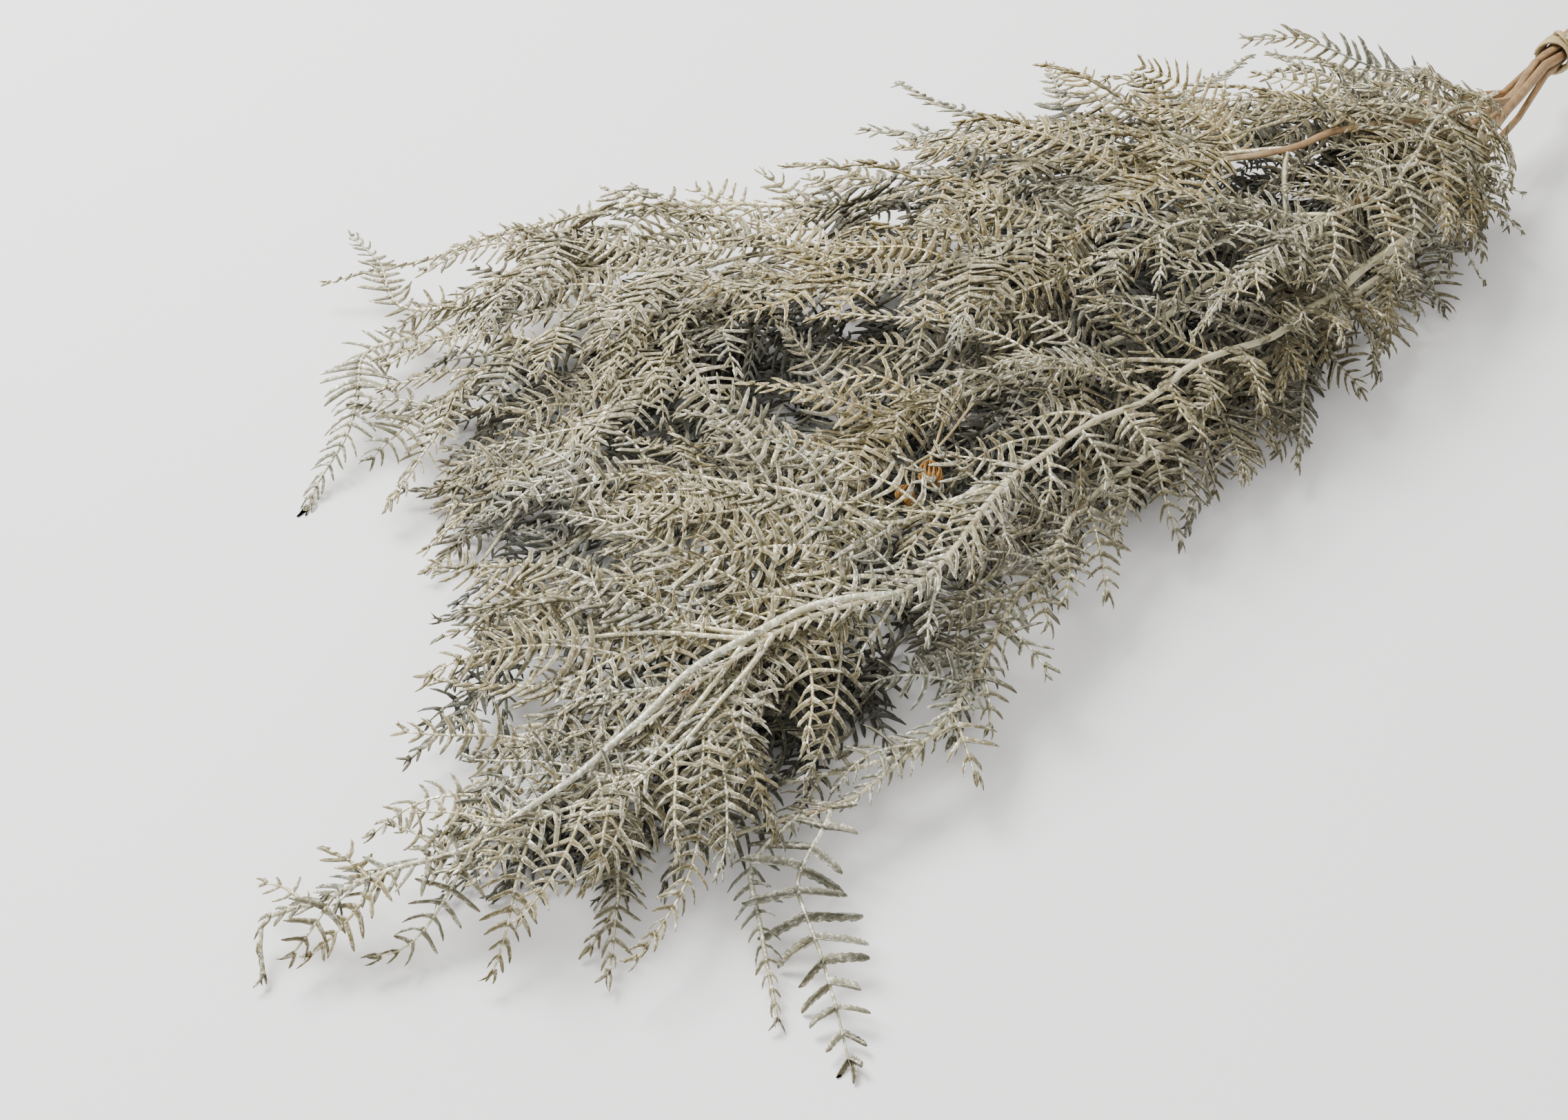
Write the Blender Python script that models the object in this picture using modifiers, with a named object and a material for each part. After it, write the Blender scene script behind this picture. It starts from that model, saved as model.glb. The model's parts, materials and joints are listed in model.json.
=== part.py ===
"""A bunch of dried fern fronds, tied at the stems and lying on a table.

Six fronds leave one tied bundle of stems and fan out into a low pile. Each frond is one solid: a stem, the
sprays that branch from it, and the pinnae along those sprays, which are thin blades cut to the rib in leaflets.
Units are metres. +X runs from the stems to the tips, +Z is up and the table is z = 0. The origin is the flat
spot on the table under the lowest frond's stem.
"""

import math
import random

import bmesh
import bpy
from mathutils import Vector

# The pile: the crown line's height over the table, from the tie to the tips, and how it falls to the sides.
PILE_START_X = -0.25
PILE_LENGTH = 0.53
PILE_CENTRE_Y = -0.02
PILE_EDGE_HEIGHT = 0.012
PILE_RISE = 0.050
PILE_PEAK_POWER = 0.893
PILE_HALF_WIDTH_AT_TIE = 0.035
PILE_HALF_WIDTH_GROWTH = 0.115
PILE_WIDEST_SHARE = 0.7
PILE_SIDE_FALL = 1.2
TIE_LIFT = 0.010

# The pile's edge in plan, towards the viewer and away from them.
NEAR_EDGE = [
    (-0.20, 0.004),
    (-0.15, 0.030),
    (-0.09, 0.034),
    (-0.06, 0.056),
    (0.00, 0.062),
    (0.06, 0.074),
    (0.12, 0.092),
    (0.16, 0.112),
    (0.19, 0.104),
    (0.22, 0.094),
    (0.29, 0.050),
]
FAR_EDGE = [
    (-0.20, -0.012),
    (-0.15, -0.045),
    (-0.10, -0.066),
    (-0.05, -0.092),
    (0.00, -0.098),
    (0.05, -0.112),
    (0.10, -0.134),
    (0.15, -0.130),
    (0.19, -0.060),
    (0.29, -0.040),
]

# The bundle of stems, from where the fronds part to the cut ends.
BUNDLE_AXIS = [
    (-0.210, -0.007, 0.0235),
    (-0.260, -0.022, 0.0175),
    (-0.310, -0.036, 0.0100),
    (-0.365, -0.050, 0.0044),
]
BUNDLE_RING_RADIUS = 0.00285
BUNDLE_TWIST = math.radians(-300)
BUNDLE_POINTS = 11
BUNDLE_AXIS_STEP = 0.02
STEM_RADIUS = 0.00125
STEM_TIP_RADIUS = 0.0005
STEM_TAPER_POWER = 4
STEM_RING_STEP = 0.024
SPRAY_RADIUS = 0.0008
SPRAY_TIP_RADIUS = 0.0004
STEM_BEVEL = 1
THIN_BEVEL = 0
WELD_DISTANCE = 0.00001

# Blades. The spreads are the least and the most of a random factor, bend or arch.
BLADE_THICKNESS = 0.0007
RIB_HALF_WIDTH = 0.0007
LEAFLET_PITCH = 0.0085
COMB_PITCH = 0.010
LEAFLET_LENGTH = 0.0068
LEAFLET_LEAN = 0.22
LEAFLET_SPREAD = (0.85, 1.15)
LEAFLET_AT_FOOT = 0.45
PINNA_CLEARANCE = 0.0075
RIB_STEP = 0.002
SHORTEST_PINNA = 0.006
PINNA_ANGLE = math.radians(62)
PINNA_ANGLE_SPREAD = (0.8, 1.2)
PINNA_LENGTH_SPREAD = (0.85, 1.2)
PINNA_BEND_SPREAD = (0.1, 0.6)
PINNA_ROLL = math.radians(34)
PINNA_ARCH_SPREAD = (-0.02, 0.10)
PINNA_TAPER = 0.4
COMB_TAPER = 0.7
FORK_STEPS = 3
NODE_GAP = 0.0003

# The table under the lowest frond.
PRESS_DEPTH = 0.02
PRESS_SIZE = 1.0

# The tie, by how far along the bundle it sits.
TIE_SHARE = 0.11
TIE_GAP = 0.00035
TIE_CORD_RADIUS = 0.0010
TIE_TURNS = 4
TIE_SIDES = 14
TIE_TURN_POINTS = 3
TIE_CORD_INSET = 0.6

# The seed heads of a stray umbel, which hangs by its straw over a rachis of the centre frond.
STRAW_RADIUS = 0.0004
STRAW_OVER_RACHIS = (0.0545, 0.0152, 0.56)
STRAW_END_OFFSET = (-0.006, -0.005, -0.0004)
STRAW_FORK = (0.0790, 0.0340, 0.0365)
STRAW_LEVELS = (0.60, 0.80)
STRAWS = [
    [(0.0600, 0.0205, 0.0350), STRAW_FORK],
    [(0.0585, 0.0265, 0.0372), STRAW_FORK],
    [STRAW_FORK, (0.0818, 0.0368, 0.0364)],
    [STRAW_FORK, (0.0870, 0.0345, 0.0352), (0.0905, 0.0392, 0.0352)],
]
SEED_HEADS = [
    {"base": (0.0812, 0.0362, 0.0366), "towards": (0.66, 0.73, -0.20), "length": 0.0060, "radius": 0.0027},
    {"base": (0.0903, 0.0388, 0.0353), "towards": (0.88, 0.38, -0.25), "length": 0.0045, "radius": 0.0022},
]
SEED_RAYS = 7
SEED_HEAD_RINGS = [(0.0, 0.25), (0.35, 0.75), (0.8, 1.0), (1.0, 0.8)]
SEED_VALLEY = 0.72

LEAF_COLOUR = (0.60, 0.58, 0.50, 1.0)
RAFFIA_COLOUR = (0.52, 0.39, 0.20, 1.0)
SEED_COLOUR = (0.48, 0.21, 0.03, 1.0)
LEAF_ROUGHNESS = 0.7
FIBRE_ROUGHNESS = 0.8

# Each frond: where its stem stands in the bundle, as an angle round the ring (None is the middle), how long the
# stem is bare past the bundle, the spacing of its pinnae, and its sprays. A spray's route is (x, y, level): level
# is its height as a share of the pile's height there. Room is how far its blades may leave that level, in the same
# share, so that fronds of different levels never meet. Reach is the length of its longest pinnae to the left and to
# the right, or of its leaflets where it is a comb, which bears leaflets only.
FRONDS = {
    "frond_under": {
        "place": 270,
        "bare": 0.06,
        "spacing": 0.036,
        "stem": {
            "route": [
                (-0.190, -0.003, 0.52),
                (-0.165, 0.000, 0.36),
                (-0.135, 0.002, 0.18),
                (-0.095, 0.003, 0.07),
                (-0.040, 0.0010, 0.030),
                (-0.014, 0.0007, 0.005),
                (0.018, 0.0007, 0.005),
                (0.040, 0.0020, 0.030),
                (0.120, 0.018, 0.06),
                (0.180, 0.026, 0.10),
            ],
            "room": 0.07,
            "reach": (0.026, 0.030),
        },
        "sprays": {
            "near_inner": {
                "route": [(-0.090, 0.003, 0.07), (-0.060, 0.022, 0.08), (-0.015, 0.040, 0.08), (0.040, 0.046, 0.08)],
                "room": 0.07,
                "reach": (0.016, 0.014),
            },
            "near_outer": {
                "route": [(0.030, 0.001, 0.04), (0.080, 0.038, 0.08), (0.125, 0.064, 0.08), (0.165, 0.076, 0.10)],
                "room": 0.08,
                "reach": (0.022, 0.020),
            },
            "far_inner": {
                "route": [(-0.110, 0.003, 0.10), (-0.060, -0.036, 0.08), (-0.015, -0.060, 0.08), (0.040, -0.078, 0.08)],
                "room": 0.07,
                "reach": (0.022, 0.024),
            },
            "far_outer": {
                "route": [(0.020, 0.001, 0.03), (0.070, -0.030, 0.08), (0.120, -0.056, 0.08), (0.160, -0.066, 0.10)],
                "room": 0.08,
                "reach": (0.022, 0.026),
            },
        },
    },
    "frond_right": {
        "place": 342,
        "bare": 0.07,
        "spacing": 0.026,
        "stem": {
            "route": [
                (-0.188, 0.004, 0.52),
                (-0.155, 0.014, 0.42),
                (-0.111, 0.027, 0.28),
                (-0.058, 0.036, 0.26),
                (-0.021, 0.043, 0.30),
                (0.000, 0.050, 0.36),
                (0.025, 0.053, 0.42),
                (0.058, 0.062, 0.48),
                (0.097, 0.080, 0.52),
                (0.126, 0.092, 0.55),
                (0.153, 0.094, 0.52),
                (0.177, 0.084, 0.45),
            ],
            "room": 0.08,
            "reach": (0.022, 0.020),
        },
        "sprays": {
            "coarse_tip": {
                "route": [(0.158, 0.093, 0.50), (0.174, 0.104, 0.45), (0.180, 0.119, 0.35), (0.189, 0.141, 0.12)],
                "room": 0.30,
                "reach": (0.012, 0.012),
                "comb": True,
            },
            "light_tip": {
                "route": [(0.164, 0.090, 0.49), (0.178, 0.093, 0.40), (0.186, 0.107, 0.30), (0.195, 0.124, 0.12)],
                "room": 0.25,
                "reach": (0.006, 0.005),
                "comb": True,
            },
            "hanging": {
                "route": [(-0.070, 0.034, 0.26), (-0.050, 0.046, 0.27), (-0.035, 0.058, 0.26), (-0.018, 0.071, 0.20)],
                "room": 0.10,
                "reach": (0.007, 0.007),
                "comb": True,
            },
            "hanging_side": {
                "route": [(-0.105, 0.028, 0.28), (-0.090, 0.038, 0.27), (-0.078, 0.047, 0.24), (-0.066, 0.056, 0.18)],
                "room": 0.10,
                "reach": (0.007, 0.007),
                "comb": True,
            },
            "collar": {
                "route": [(-0.176, 0.004, 0.49), (-0.170, 0.014, 0.42), (-0.157, 0.024, 0.34), (-0.140, 0.033, 0.24)],
                "room": 0.14,
                "reach": (0.008, 0.008),
                "comb": True,
            },
        },
    },
    "frond_back": {
        "place": 198,
        "bare": 0.05,
        "spacing": 0.026,
        "stem": {
            "route": [
                (-0.192, -0.006, 0.56),
                (-0.163, -0.019, 0.48),
                (-0.119, -0.036, 0.42),
                (-0.066, -0.051, 0.40),
                (-0.009, -0.074, 0.40),
                (0.013, -0.080, 0.40),
                (0.054, -0.073, 0.40),
                (0.079, -0.061, 0.40),
                (0.108, -0.048, 0.42),
                (0.140, -0.041, 0.45),
                (0.178, -0.022, 0.30),
            ],
            "room": 0.08,
            "reach": (0.020, 0.028),
        },
        "sprays": {
            "far_spray": {
                "route": [
                    (0.010, -0.079, 0.40),
                    (0.051, -0.110, 0.50),
                    (0.077, -0.122, 0.60),
                    (0.103, -0.116, 0.60),
                    (0.125, -0.112, 0.50),
                    (0.149, -0.121, 0.35),
                ],
                "room": 0.30,
                "reach": (0.016, 0.022),
            },
            "near_spray": {
                "route": [
                    (0.040, -0.076, 0.40),
                    (0.084, -0.086, 0.50),
                    (0.113, -0.081, 0.55),
                    (0.141, -0.081, 0.50),
                    (0.163, -0.082, 0.40),
                    (0.171, -0.100, 0.25),
                ],
                "room": 0.15,
                "reach": (0.018, 0.018),
            },
            "thin_tip": {
                "route": [(0.070, -0.119, 0.58), (0.090, -0.130, 0.60), (0.125, -0.142, 0.55), (0.150, -0.157, 0.35)],
                "room": 0.30,
                "reach": (0.005, 0.005),
                "comb": True,
            },
            "twin_tip": {
                "route": [(0.128, -0.113, 0.48), (0.142, -0.126, 0.55), (0.137, -0.148, 0.60), (0.136, -0.166, 0.60)],
                "room": 0.30,
                "reach": (0.006, 0.006),
                "comb": True,
            },
            "hooked_tip": {
                "route": [(0.143, -0.118, 0.38), (0.160, -0.117, 0.40), (0.173, -0.098, 0.35), (0.197, -0.081, 0.05)],
                "room": 0.30,
                "reach": (0.010, 0.010),
                "comb": True,
            },
            "far_edge": {
                "route": [(-0.075, -0.049, 0.40), (-0.060, -0.070, 0.50), (-0.052, -0.092, 0.70), (-0.045, -0.132, 0.90)],
                "room": 0.40,
                "reach": (0.009, 0.009),
                "comb": True,
            },
            "upright": {
                "route": [(-0.087, -0.045, 0.40), (-0.094, -0.062, 0.55), (-0.108, -0.070, 0.80), (-0.132, -0.072, 1.05)],
                "room": 0.40,
                "reach": (0.008, 0.008),
                "comb": True,
            },
            "far_fork": {
                "route": [(-0.068, -0.052, 0.40), (-0.068, -0.072, 0.55), (-0.077, -0.090, 0.85), (-0.085, -0.105, 1.05)],
                "room": 0.40,
                "reach": (0.007, 0.007),
                "comb": True,
            },
            "tie_side": {
                "route": [(-0.158, -0.021, 0.47), (-0.160, -0.034, 0.60), (-0.166, -0.052, 0.75), (-0.160, -0.071, 0.90)],
                "room": 0.40,
                "reach": (0.007, 0.007),
                "comb": True,
            },
        },
    },
    "frond_centre": {
        "place": None,
        "bare": 0.06,
        "spacing": 0.026,
        "stem": {
            "route": [
                (-0.188, -0.002, 0.59),
                (-0.120, 0.012, 0.56),
                (-0.076, 0.017, 0.56),
                (-0.044, 0.018, 0.56),
                (-0.015, 0.023, 0.56),
                (0.013, 0.022, 0.56),
                (0.044, 0.017, 0.56),
                (0.068, 0.013, 0.56),
                (0.102, 0.008, 0.56),
                (0.132, -0.008, 0.56),
                (0.162, -0.008, 0.50),
                (0.176, -0.007, 0.40),
            ],
            "room": 0.06,
            "reach": (0.022, 0.026),
        },
        "sprays": {},
    },
    "frond_middle": {
        "place": 126,
        "bare": 0.05,
        "spacing": 0.026,
        "stem": {
            "route": [
                (-0.184, 0.002, 0.68),
                (-0.106, 0.004, 0.72),
                (-0.068, 0.004, 0.72),
                (-0.029, -0.013, 0.72),
                (0.000, -0.016, 0.72),
                (0.030, -0.018, 0.72),
                (0.053, -0.027, 0.72),
                (0.075, -0.046, 0.72),
                (0.084, -0.064, 0.72),
            ],
            "room": 0.06,
            "reach": (0.022, 0.034),
        },
        "sprays": {
            "brown_rib": {
                "route": [(-0.020, -0.015, 0.72), (0.012, 0.002, 0.72), (0.043, -0.004, 0.72), (0.066, -0.020, 0.72)],
                "room": 0.06,
                "reach": (0.008, 0.008),
                "comb": True,
            },
            "far_arm": {
                "route": [(-0.090, 0.004, 0.72), (-0.050, -0.030, 0.72), (-0.015, -0.048, 0.72), (0.030, -0.058, 0.72)],
                "room": 0.06,
                "reach": (0.018, 0.020),
            },
        },
    },
    "frond_front": {
        "place": 54,
        "bare": 0.03,
        "spacing": 0.022,
        "stem": {
            "route": [
                (-0.180, 0.007, 0.80),
                (-0.150, 0.017, 0.89),
                (-0.096, 0.034, 0.92),
                (-0.039, 0.045, 0.92),
                (0.018, 0.050, 0.92),
                (0.072, 0.058, 0.92),
                (0.114, 0.068, 0.94),
                (0.154, 0.068, 0.94),
                (0.186, 0.070, 0.90),
            ],
            "room": 0.09,
            "reach": (0.026, 0.016),
        },
        "sprays": {
            "far_spray": {
                "route": [
                    (0.075, 0.058, 0.92),
                    (0.105, 0.049, 0.92),
                    (0.126, 0.037, 0.92),
                    (0.151, 0.028, 0.92),
                    (0.179, 0.014, 0.88),
                    (0.192, 0.007, 0.80),
                    (0.199, 0.018, 0.70),
                ],
                "room": 0.09,
                "reach": (0.012, 0.020),
            },
            "curled_spray": {
                "route": [
                    (0.108, 0.067, 0.94),
                    (0.128, 0.054, 0.94),
                    (0.157, 0.046, 0.94),
                    (0.192, 0.045, 0.94),
                    (0.221, 0.048, 0.85),
                    (0.236, 0.056, 0.70),
                ],
                "room": 0.12,
                "reach": (0.010, 0.026),
            },
            "long_tip": {
                "route": [
                    (0.120, 0.068, 0.94),
                    (0.140, 0.060, 0.94),
                    (0.164, 0.056, 0.94),
                    (0.193, 0.060, 0.94),
                    (0.216, 0.062, 0.90),
                    (0.238, 0.055, 0.80),
                    (0.264, 0.043, 0.60),
                    (0.272, 0.041, 0.45),
                    (0.276, 0.049, 0.15),
                ],
                "room": 0.30,
                "reach": (0.038, 0.012),
            },
        },
    },
}


def clear_scene():
    for old in list(bpy.data.objects):
        bpy.data.objects.remove(old)


def smooth_step(value):
    value = min(1.0, max(0.0, value))
    return value * value * (3 - 2 * value)


def pile_height(x, y):
    """The pile's height over the table at a plan position."""
    along = min(1.0, max(0.0, (x - PILE_START_X) / PILE_LENGTH))
    crown = PILE_RISE * math.sin(math.pi * along**PILE_PEAK_POWER)
    widening = math.sin(math.pi / 2 * min(1.0, along / PILE_WIDEST_SHARE))
    half_width = PILE_HALF_WIDTH_AT_TIE + PILE_HALF_WIDTH_GROWTH * widening
    across = (y - PILE_CENTRE_Y) / half_width
    return PILE_EDGE_HEIGHT + crown * math.exp(-PILE_SIDE_FALL * across**2) + TIE_LIFT * (1 - along) ** 2


def edge_at(edge, x):
    """The y of an edge line at x."""
    for (x0, y0), (x1, y1) in zip(edge, edge[1:]):
        if x <= x1:
            return y0 + (y1 - y0) * (max(x, x0) - x0) / (x1 - x0)
    return edge[-1][1]


def inside_pile(point):
    return edge_at(FAR_EDGE, point.x) < point.y < edge_at(NEAR_EDGE, point.x)


def smooth_route(points, step):
    """Points about a step apart in plan, on a Catmull-Rom curve through the given ones."""
    points = [Vector(p) for p in points]
    ends = [2 * points[0] - points[1], *points, 2 * points[-1] - points[-2]]
    made = []
    for a, b, c, d in zip(ends, ends[1:], ends[2:], ends[3:]):
        count = max(1, round((c - b).xy.length / step))
        for k in range(count):
            t = k / count
            made.append(
                0.5 * (2 * b + (c - a) * t + (2 * a - 5 * b + 4 * c - d) * t**2 + (3 * b - a - 3 * c + d) * t**3)
            )
    return [*made, points[-1].copy()]


def flat(point):
    return Vector((point.x, point.y, 0))


def at_level(point):
    """A route's point (x, y, level) as a place in the pile."""
    return Vector((point.x, point.y, point.z * pile_height(point.x, point.y)))


def bundle_axis(share):
    """The bundle's centre, from where the fronds part (share 0) to the cut ends (1), and its direction there."""
    axis = smooth_route(BUNDLE_AXIS, BUNDLE_AXIS_STEP)
    where = share * (len(axis) - 1)
    first = min(int(where), len(axis) - 2)
    return axis[first].lerp(axis[first + 1], where - first), (axis[first] - axis[first + 1]).normalized()


def bundle_point(share, place):
    """A stem's centre in the twisted bundle; place is its angle round the ring, or None in the middle."""
    centre, along = bundle_axis(share)
    if place is None:
        return centre
    angle = math.radians(place) + BUNDLE_TWIST * share
    side = Vector((0, 0, 1)).cross(along).normalized()
    return centre + BUNDLE_RING_RADIUS * (side * math.cos(angle) + along.cross(side) * math.sin(angle))


def tube(name, points, radii, bevel):
    """A tube through the points, as a closed mesh; bevel 0 gives it four sides and 1 gives it six."""
    curve = bpy.data.curves.new(name, "CURVE")
    curve.dimensions = "3D"
    curve.bevel_depth = 1.0
    curve.bevel_resolution = bevel
    curve.use_fill_caps = True
    spline = curve.splines.new("POLY")
    spline.points.add(len(points) - 1)
    for spot, point, radius in zip(spline.points, points, radii):
        spot.co = (*point, 1.0)
        spot.radius = radius
    guide = bpy.data.objects.new(name, curve)
    bpy.context.scene.collection.objects.link(guide)
    bpy.context.view_layer.update()
    mesh = bpy.data.meshes.new_from_object(guide.evaluated_get(bpy.context.evaluated_depsgraph_get()))
    bpy.data.objects.remove(guide)
    welder = bmesh.new()
    welder.from_mesh(mesh)
    bmesh.ops.remove_doubles(welder, verts=welder.verts, dist=WELD_DISTANCE)
    bmesh.ops.recalc_face_normals(welder, faces=welder.faces)
    welder.to_mesh(mesh)
    welder.free()
    made = bpy.data.objects.new(name, mesh)
    bpy.context.scene.collection.objects.link(made)
    return made


def claim(points, room):
    """The places that a line takes in the pile: plan position, lowest level and highest level."""
    return [(flat(p), p.z - room, p.z + room) for p in points]


def is_free(place, level, room, taken):
    return not any(
        low < level + room and high > level - room and (place - other).length < PINNA_CLEARANCE
        for other, low, high in taken
    )


def rib_path(base, heading, bend, length, room, taken):
    """A pinna's rib in plan, turning by bend. It ends at the pile's edge or before what is taken at its level."""
    steps = max(1, round(length / RIB_STEP))
    path = [flat(base)]
    for k in range(steps):
        turned = heading + bend * k / steps
        ahead = path[-1] + RIB_STEP * Vector((math.cos(turned), math.sin(turned), 0))
        if not inside_pile(ahead) or not is_free(ahead, base.z, room, taken):
            break
        path.append(ahead)
    return path


def thinned(path, pitch):
    """The path in equal steps of about one pitch."""
    pairs = max(1, round((len(path) - 1) * RIB_STEP / pitch))
    return [path[round(k * (len(path) - 1) / pairs)] for k in range(pairs + 1)]


def cut_blade(path, levels, room, leaflet, roll, arch, taper):
    """A thin blade cut to its rib in pointed leaflets, along plan places that each have a level in the pile."""
    pairs = len(path) - 1
    spare = 0.5 * (BLADE_THICKNESS + NODE_GAP)
    builder = bmesh.new()

    def put(place, rise, level):
        height = pile_height(place.x, place.y)
        lowest = (level - room) * height + spare
        highest = max((level + room) * height - spare, lowest)
        return builder.verts.new((place.x, place.y, min(max(level * height + rise, lowest), highest)))

    sides = []
    for k in range(pairs + 1):
        ahead = path[min(k + 1, pairs)] - path[max(k - 1, 0)]
        sides.append(Vector((-ahead.y, ahead.x, 0)).normalized())
    left_rib, right_rib = [], []
    for k in range(pairs):
        lift = arch * math.sin(math.pi * k / pairs)
        left_rib.append(put(path[k] + RIB_HALF_WIDTH * sides[k], lift, levels[k]))
        right_rib.append(put(path[k] - RIB_HALF_WIDTH * sides[k], lift, levels[k]))
    end = put(path[-1], 0.0, levels[-1])
    left_rib.append(end)
    right_rib.append(end)
    for k in range(pairs):
        share = (k + 0.5) / pairs
        grown = LEAFLET_AT_FOOT + (1 - LEAFLET_AT_FOOT) * smooth_step(3 * share)
        reach = leaflet * grown * (1 - taper * share**2)
        middle = path[k].lerp(path[k + 1], 0.5 + LEAFLET_LEAN)
        lift = arch * math.sin(math.pi * share)
        level = 0.5 * (levels[k] + levels[k + 1])
        left_tip = put(middle + reach * math.cos(roll) * sides[k], lift + reach * math.sin(roll), level)
        right_tip = put(middle - reach * math.cos(roll) * sides[k], lift - reach * math.sin(roll), level)
        builder.faces.new((left_rib[k], left_rib[k + 1], left_tip))
        builder.faces.new((right_rib[k + 1], right_rib[k], right_tip))
        builder.faces.new((left_rib[k], right_rib[k], right_rib[k + 1]))
        if k + 1 < pairs:
            builder.faces.new((left_rib[k], right_rib[k + 1], left_rib[k + 1]))
    bmesh.ops.recalc_face_normals(builder, faces=builder.faces)
    mesh = bpy.data.meshes.new("blade")
    builder.to_mesh(mesh)
    builder.free()
    blade = bpy.data.objects.new("blade", mesh)
    bpy.context.scene.collection.objects.link(blade)
    thick = blade.modifiers.new("thickness", "SOLIDIFY")
    thick.thickness = BLADE_THICKNESS
    thick.offset = 0.0
    return blade


def pinnae_along(name, spray, spacing, bare, taken):
    """The blades on both sides of a branched spray, past its bare stretch."""
    places = smooth_route(spray["route"], RIB_STEP)
    run = [0.0]
    for a, b in zip(places, places[1:]):
        run.append(run[-1] + (b - a).xy.length)
    blades = []
    for number in range(int(run[-1] / spacing) + 1):
        for side, reach in zip((1, -1), spray["reach"]):
            where = bare + (number + 0.5 + 0.25 * side) * spacing
            if where > run[-1] - RIB_STEP:
                continue
            draw = random.Random(f"{name} {number} {side}")
            k = next(i for i in range(1, len(run)) if run[i] >= where)
            ahead = places[k] - places[k - 1]
            share = where / run[-1]
            length = reach * (1 - share**3) * draw.uniform(*PINNA_LENGTH_SPREAD) + RIB_STEP * 2
            heading = math.atan2(ahead.y, ahead.x) + side * PINNA_ANGLE * draw.uniform(*PINNA_ANGLE_SPREAD)
            bend = -side * draw.uniform(*PINNA_BEND_SPREAD)
            rib = rib_path(places[k], heading, bend, length, spray["room"], taken)
            if (len(rib) - 1) * RIB_STEP < SHORTEST_PINNA:
                continue
            taken += [(p, places[k].z - spray["room"], places[k].z + spray["room"]) for p in rib[FORK_STEPS:]]
            path = thinned(rib, LEAFLET_PITCH)
            leaflet = LEAFLET_LENGTH * draw.uniform(*LEAFLET_SPREAD)
            roll = PINNA_ROLL * draw.uniform(-1, 1)
            arch = length * draw.uniform(*PINNA_ARCH_SPREAD)
            levels = [places[k].z] * len(path)
            blades.append(cut_blade(path, levels, spray["room"], leaflet, roll, arch, PINNA_TAPER))
    return blades


def comb(name, spray):
    """A spray that bears leaflets only: one blade over its whole route."""
    places = smooth_route(spray["route"], COMB_PITCH)
    roll = PINNA_ROLL * random.Random(name).uniform(-1, 1)
    levels = [p.z for p in places]
    return cut_blade([flat(p) for p in places], levels, spray["room"], max(spray["reach"]), roll, 0.0, COMB_TAPER)


def spray_tube(spray):
    points = [at_level(p) for p in smooth_route(spray["route"], STEM_RING_STEP)]
    last = len(points) - 1
    radii = [SPRAY_RADIUS + (SPRAY_TIP_RADIUS - SPRAY_RADIUS) * k / last for k in range(last + 1)]
    return tube("spray", points, radii, THIN_BEVEL)


def stem_tube(place, stem):
    """The stem from its cut end, through the bundle, to the frond's tip."""
    bundle = [bundle_point(1 - k / (BUNDLE_POINTS - 1), place) for k in range(BUNDLE_POINTS)]
    foliage = [at_level(p) for p in smooth_route(stem["route"], STEM_RING_STEP)]
    radii = [STEM_RADIUS] * BUNDLE_POINTS
    for k in range(len(foliage)):
        taper = (k / (len(foliage) - 1)) ** STEM_TAPER_POWER
        radii.append(STEM_RADIUS + (STEM_TIP_RADIUS - STEM_RADIUS) * taper)
    return tube("stem", bundle + foliage, radii, STEM_BEVEL)


def fuse(base, pieces, name):
    """Joins the pieces to the base as one solid."""
    group = bpy.data.collections.new(name)
    bpy.context.scene.collection.children.link(group)
    for piece in pieces:
        bpy.context.scene.collection.objects.unlink(piece)
        group.objects.link(piece)
    union = base.modifiers.new("union", "BOOLEAN")
    union.operation = "UNION"
    union.operand_type = "COLLECTION"
    union.collection = group
    union.solver = "MANIFOLD"
    bpy.context.view_layer.update()
    mesh = bpy.data.meshes.new_from_object(base.evaluated_get(bpy.context.evaluated_depsgraph_get()))
    for piece in [*pieces, base]:
        bpy.data.objects.remove(piece)
    bpy.data.collections.remove(group)
    made = bpy.data.objects.new(name, mesh)
    bpy.context.scene.collection.objects.link(made)
    return made


def drop_scraps(solid):
    """Keeps the largest connected body."""
    worker = bmesh.new()
    worker.from_mesh(solid.data)
    left = set(worker.verts)
    bodies = []
    while left:
        waiting = [left.pop()]
        body = set(waiting)
        while waiting:
            for edge in waiting.pop().link_edges:
                for vert in edge.verts:
                    if vert not in body:
                        body.add(vert)
                        left.discard(vert)
                        waiting.append(vert)
        bodies.append(body)
    bodies.sort(key=len)
    for body in bodies[:-1]:
        bmesh.ops.delete(worker, geom=list(body), context="VERTS")
    worker.to_mesh(solid.data)
    worker.free()


def make_table_cutter(cutters):
    """A block under the table's surface."""
    bpy.ops.mesh.primitive_cube_add(size=PRESS_SIZE)
    table = bpy.context.object
    table.name = "table_cutter"
    table.scale = (1.0, 1.0, PRESS_DEPTH / PRESS_SIZE)
    table.location = (0, 0, -PRESS_DEPTH / 2)
    bpy.ops.object.transform_apply(location=True, scale=True)
    table.hide_render = True
    table.display_type = "WIRE"
    table.users_collection[0].objects.unlink(table)
    cutters.objects.link(table)
    return table


def press_flat(solid, table):
    """Cuts away what would lie under the table, which leaves the flat spots that the bunch rests on."""
    cut = solid.modifiers.new("press", "BOOLEAN")
    cut.operation = "DIFFERENCE"
    cut.object = table
    cut.solver = "MANIFOLD"
    bpy.context.view_layer.update()
    mesh = bpy.data.meshes.new_from_object(solid.evaluated_get(bpy.context.evaluated_depsgraph_get()))
    solid.modifiers.clear()
    solid.data = mesh


def sprays_of(frond):
    return {"stem": frond["stem"], **frond["sprays"]}


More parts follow.
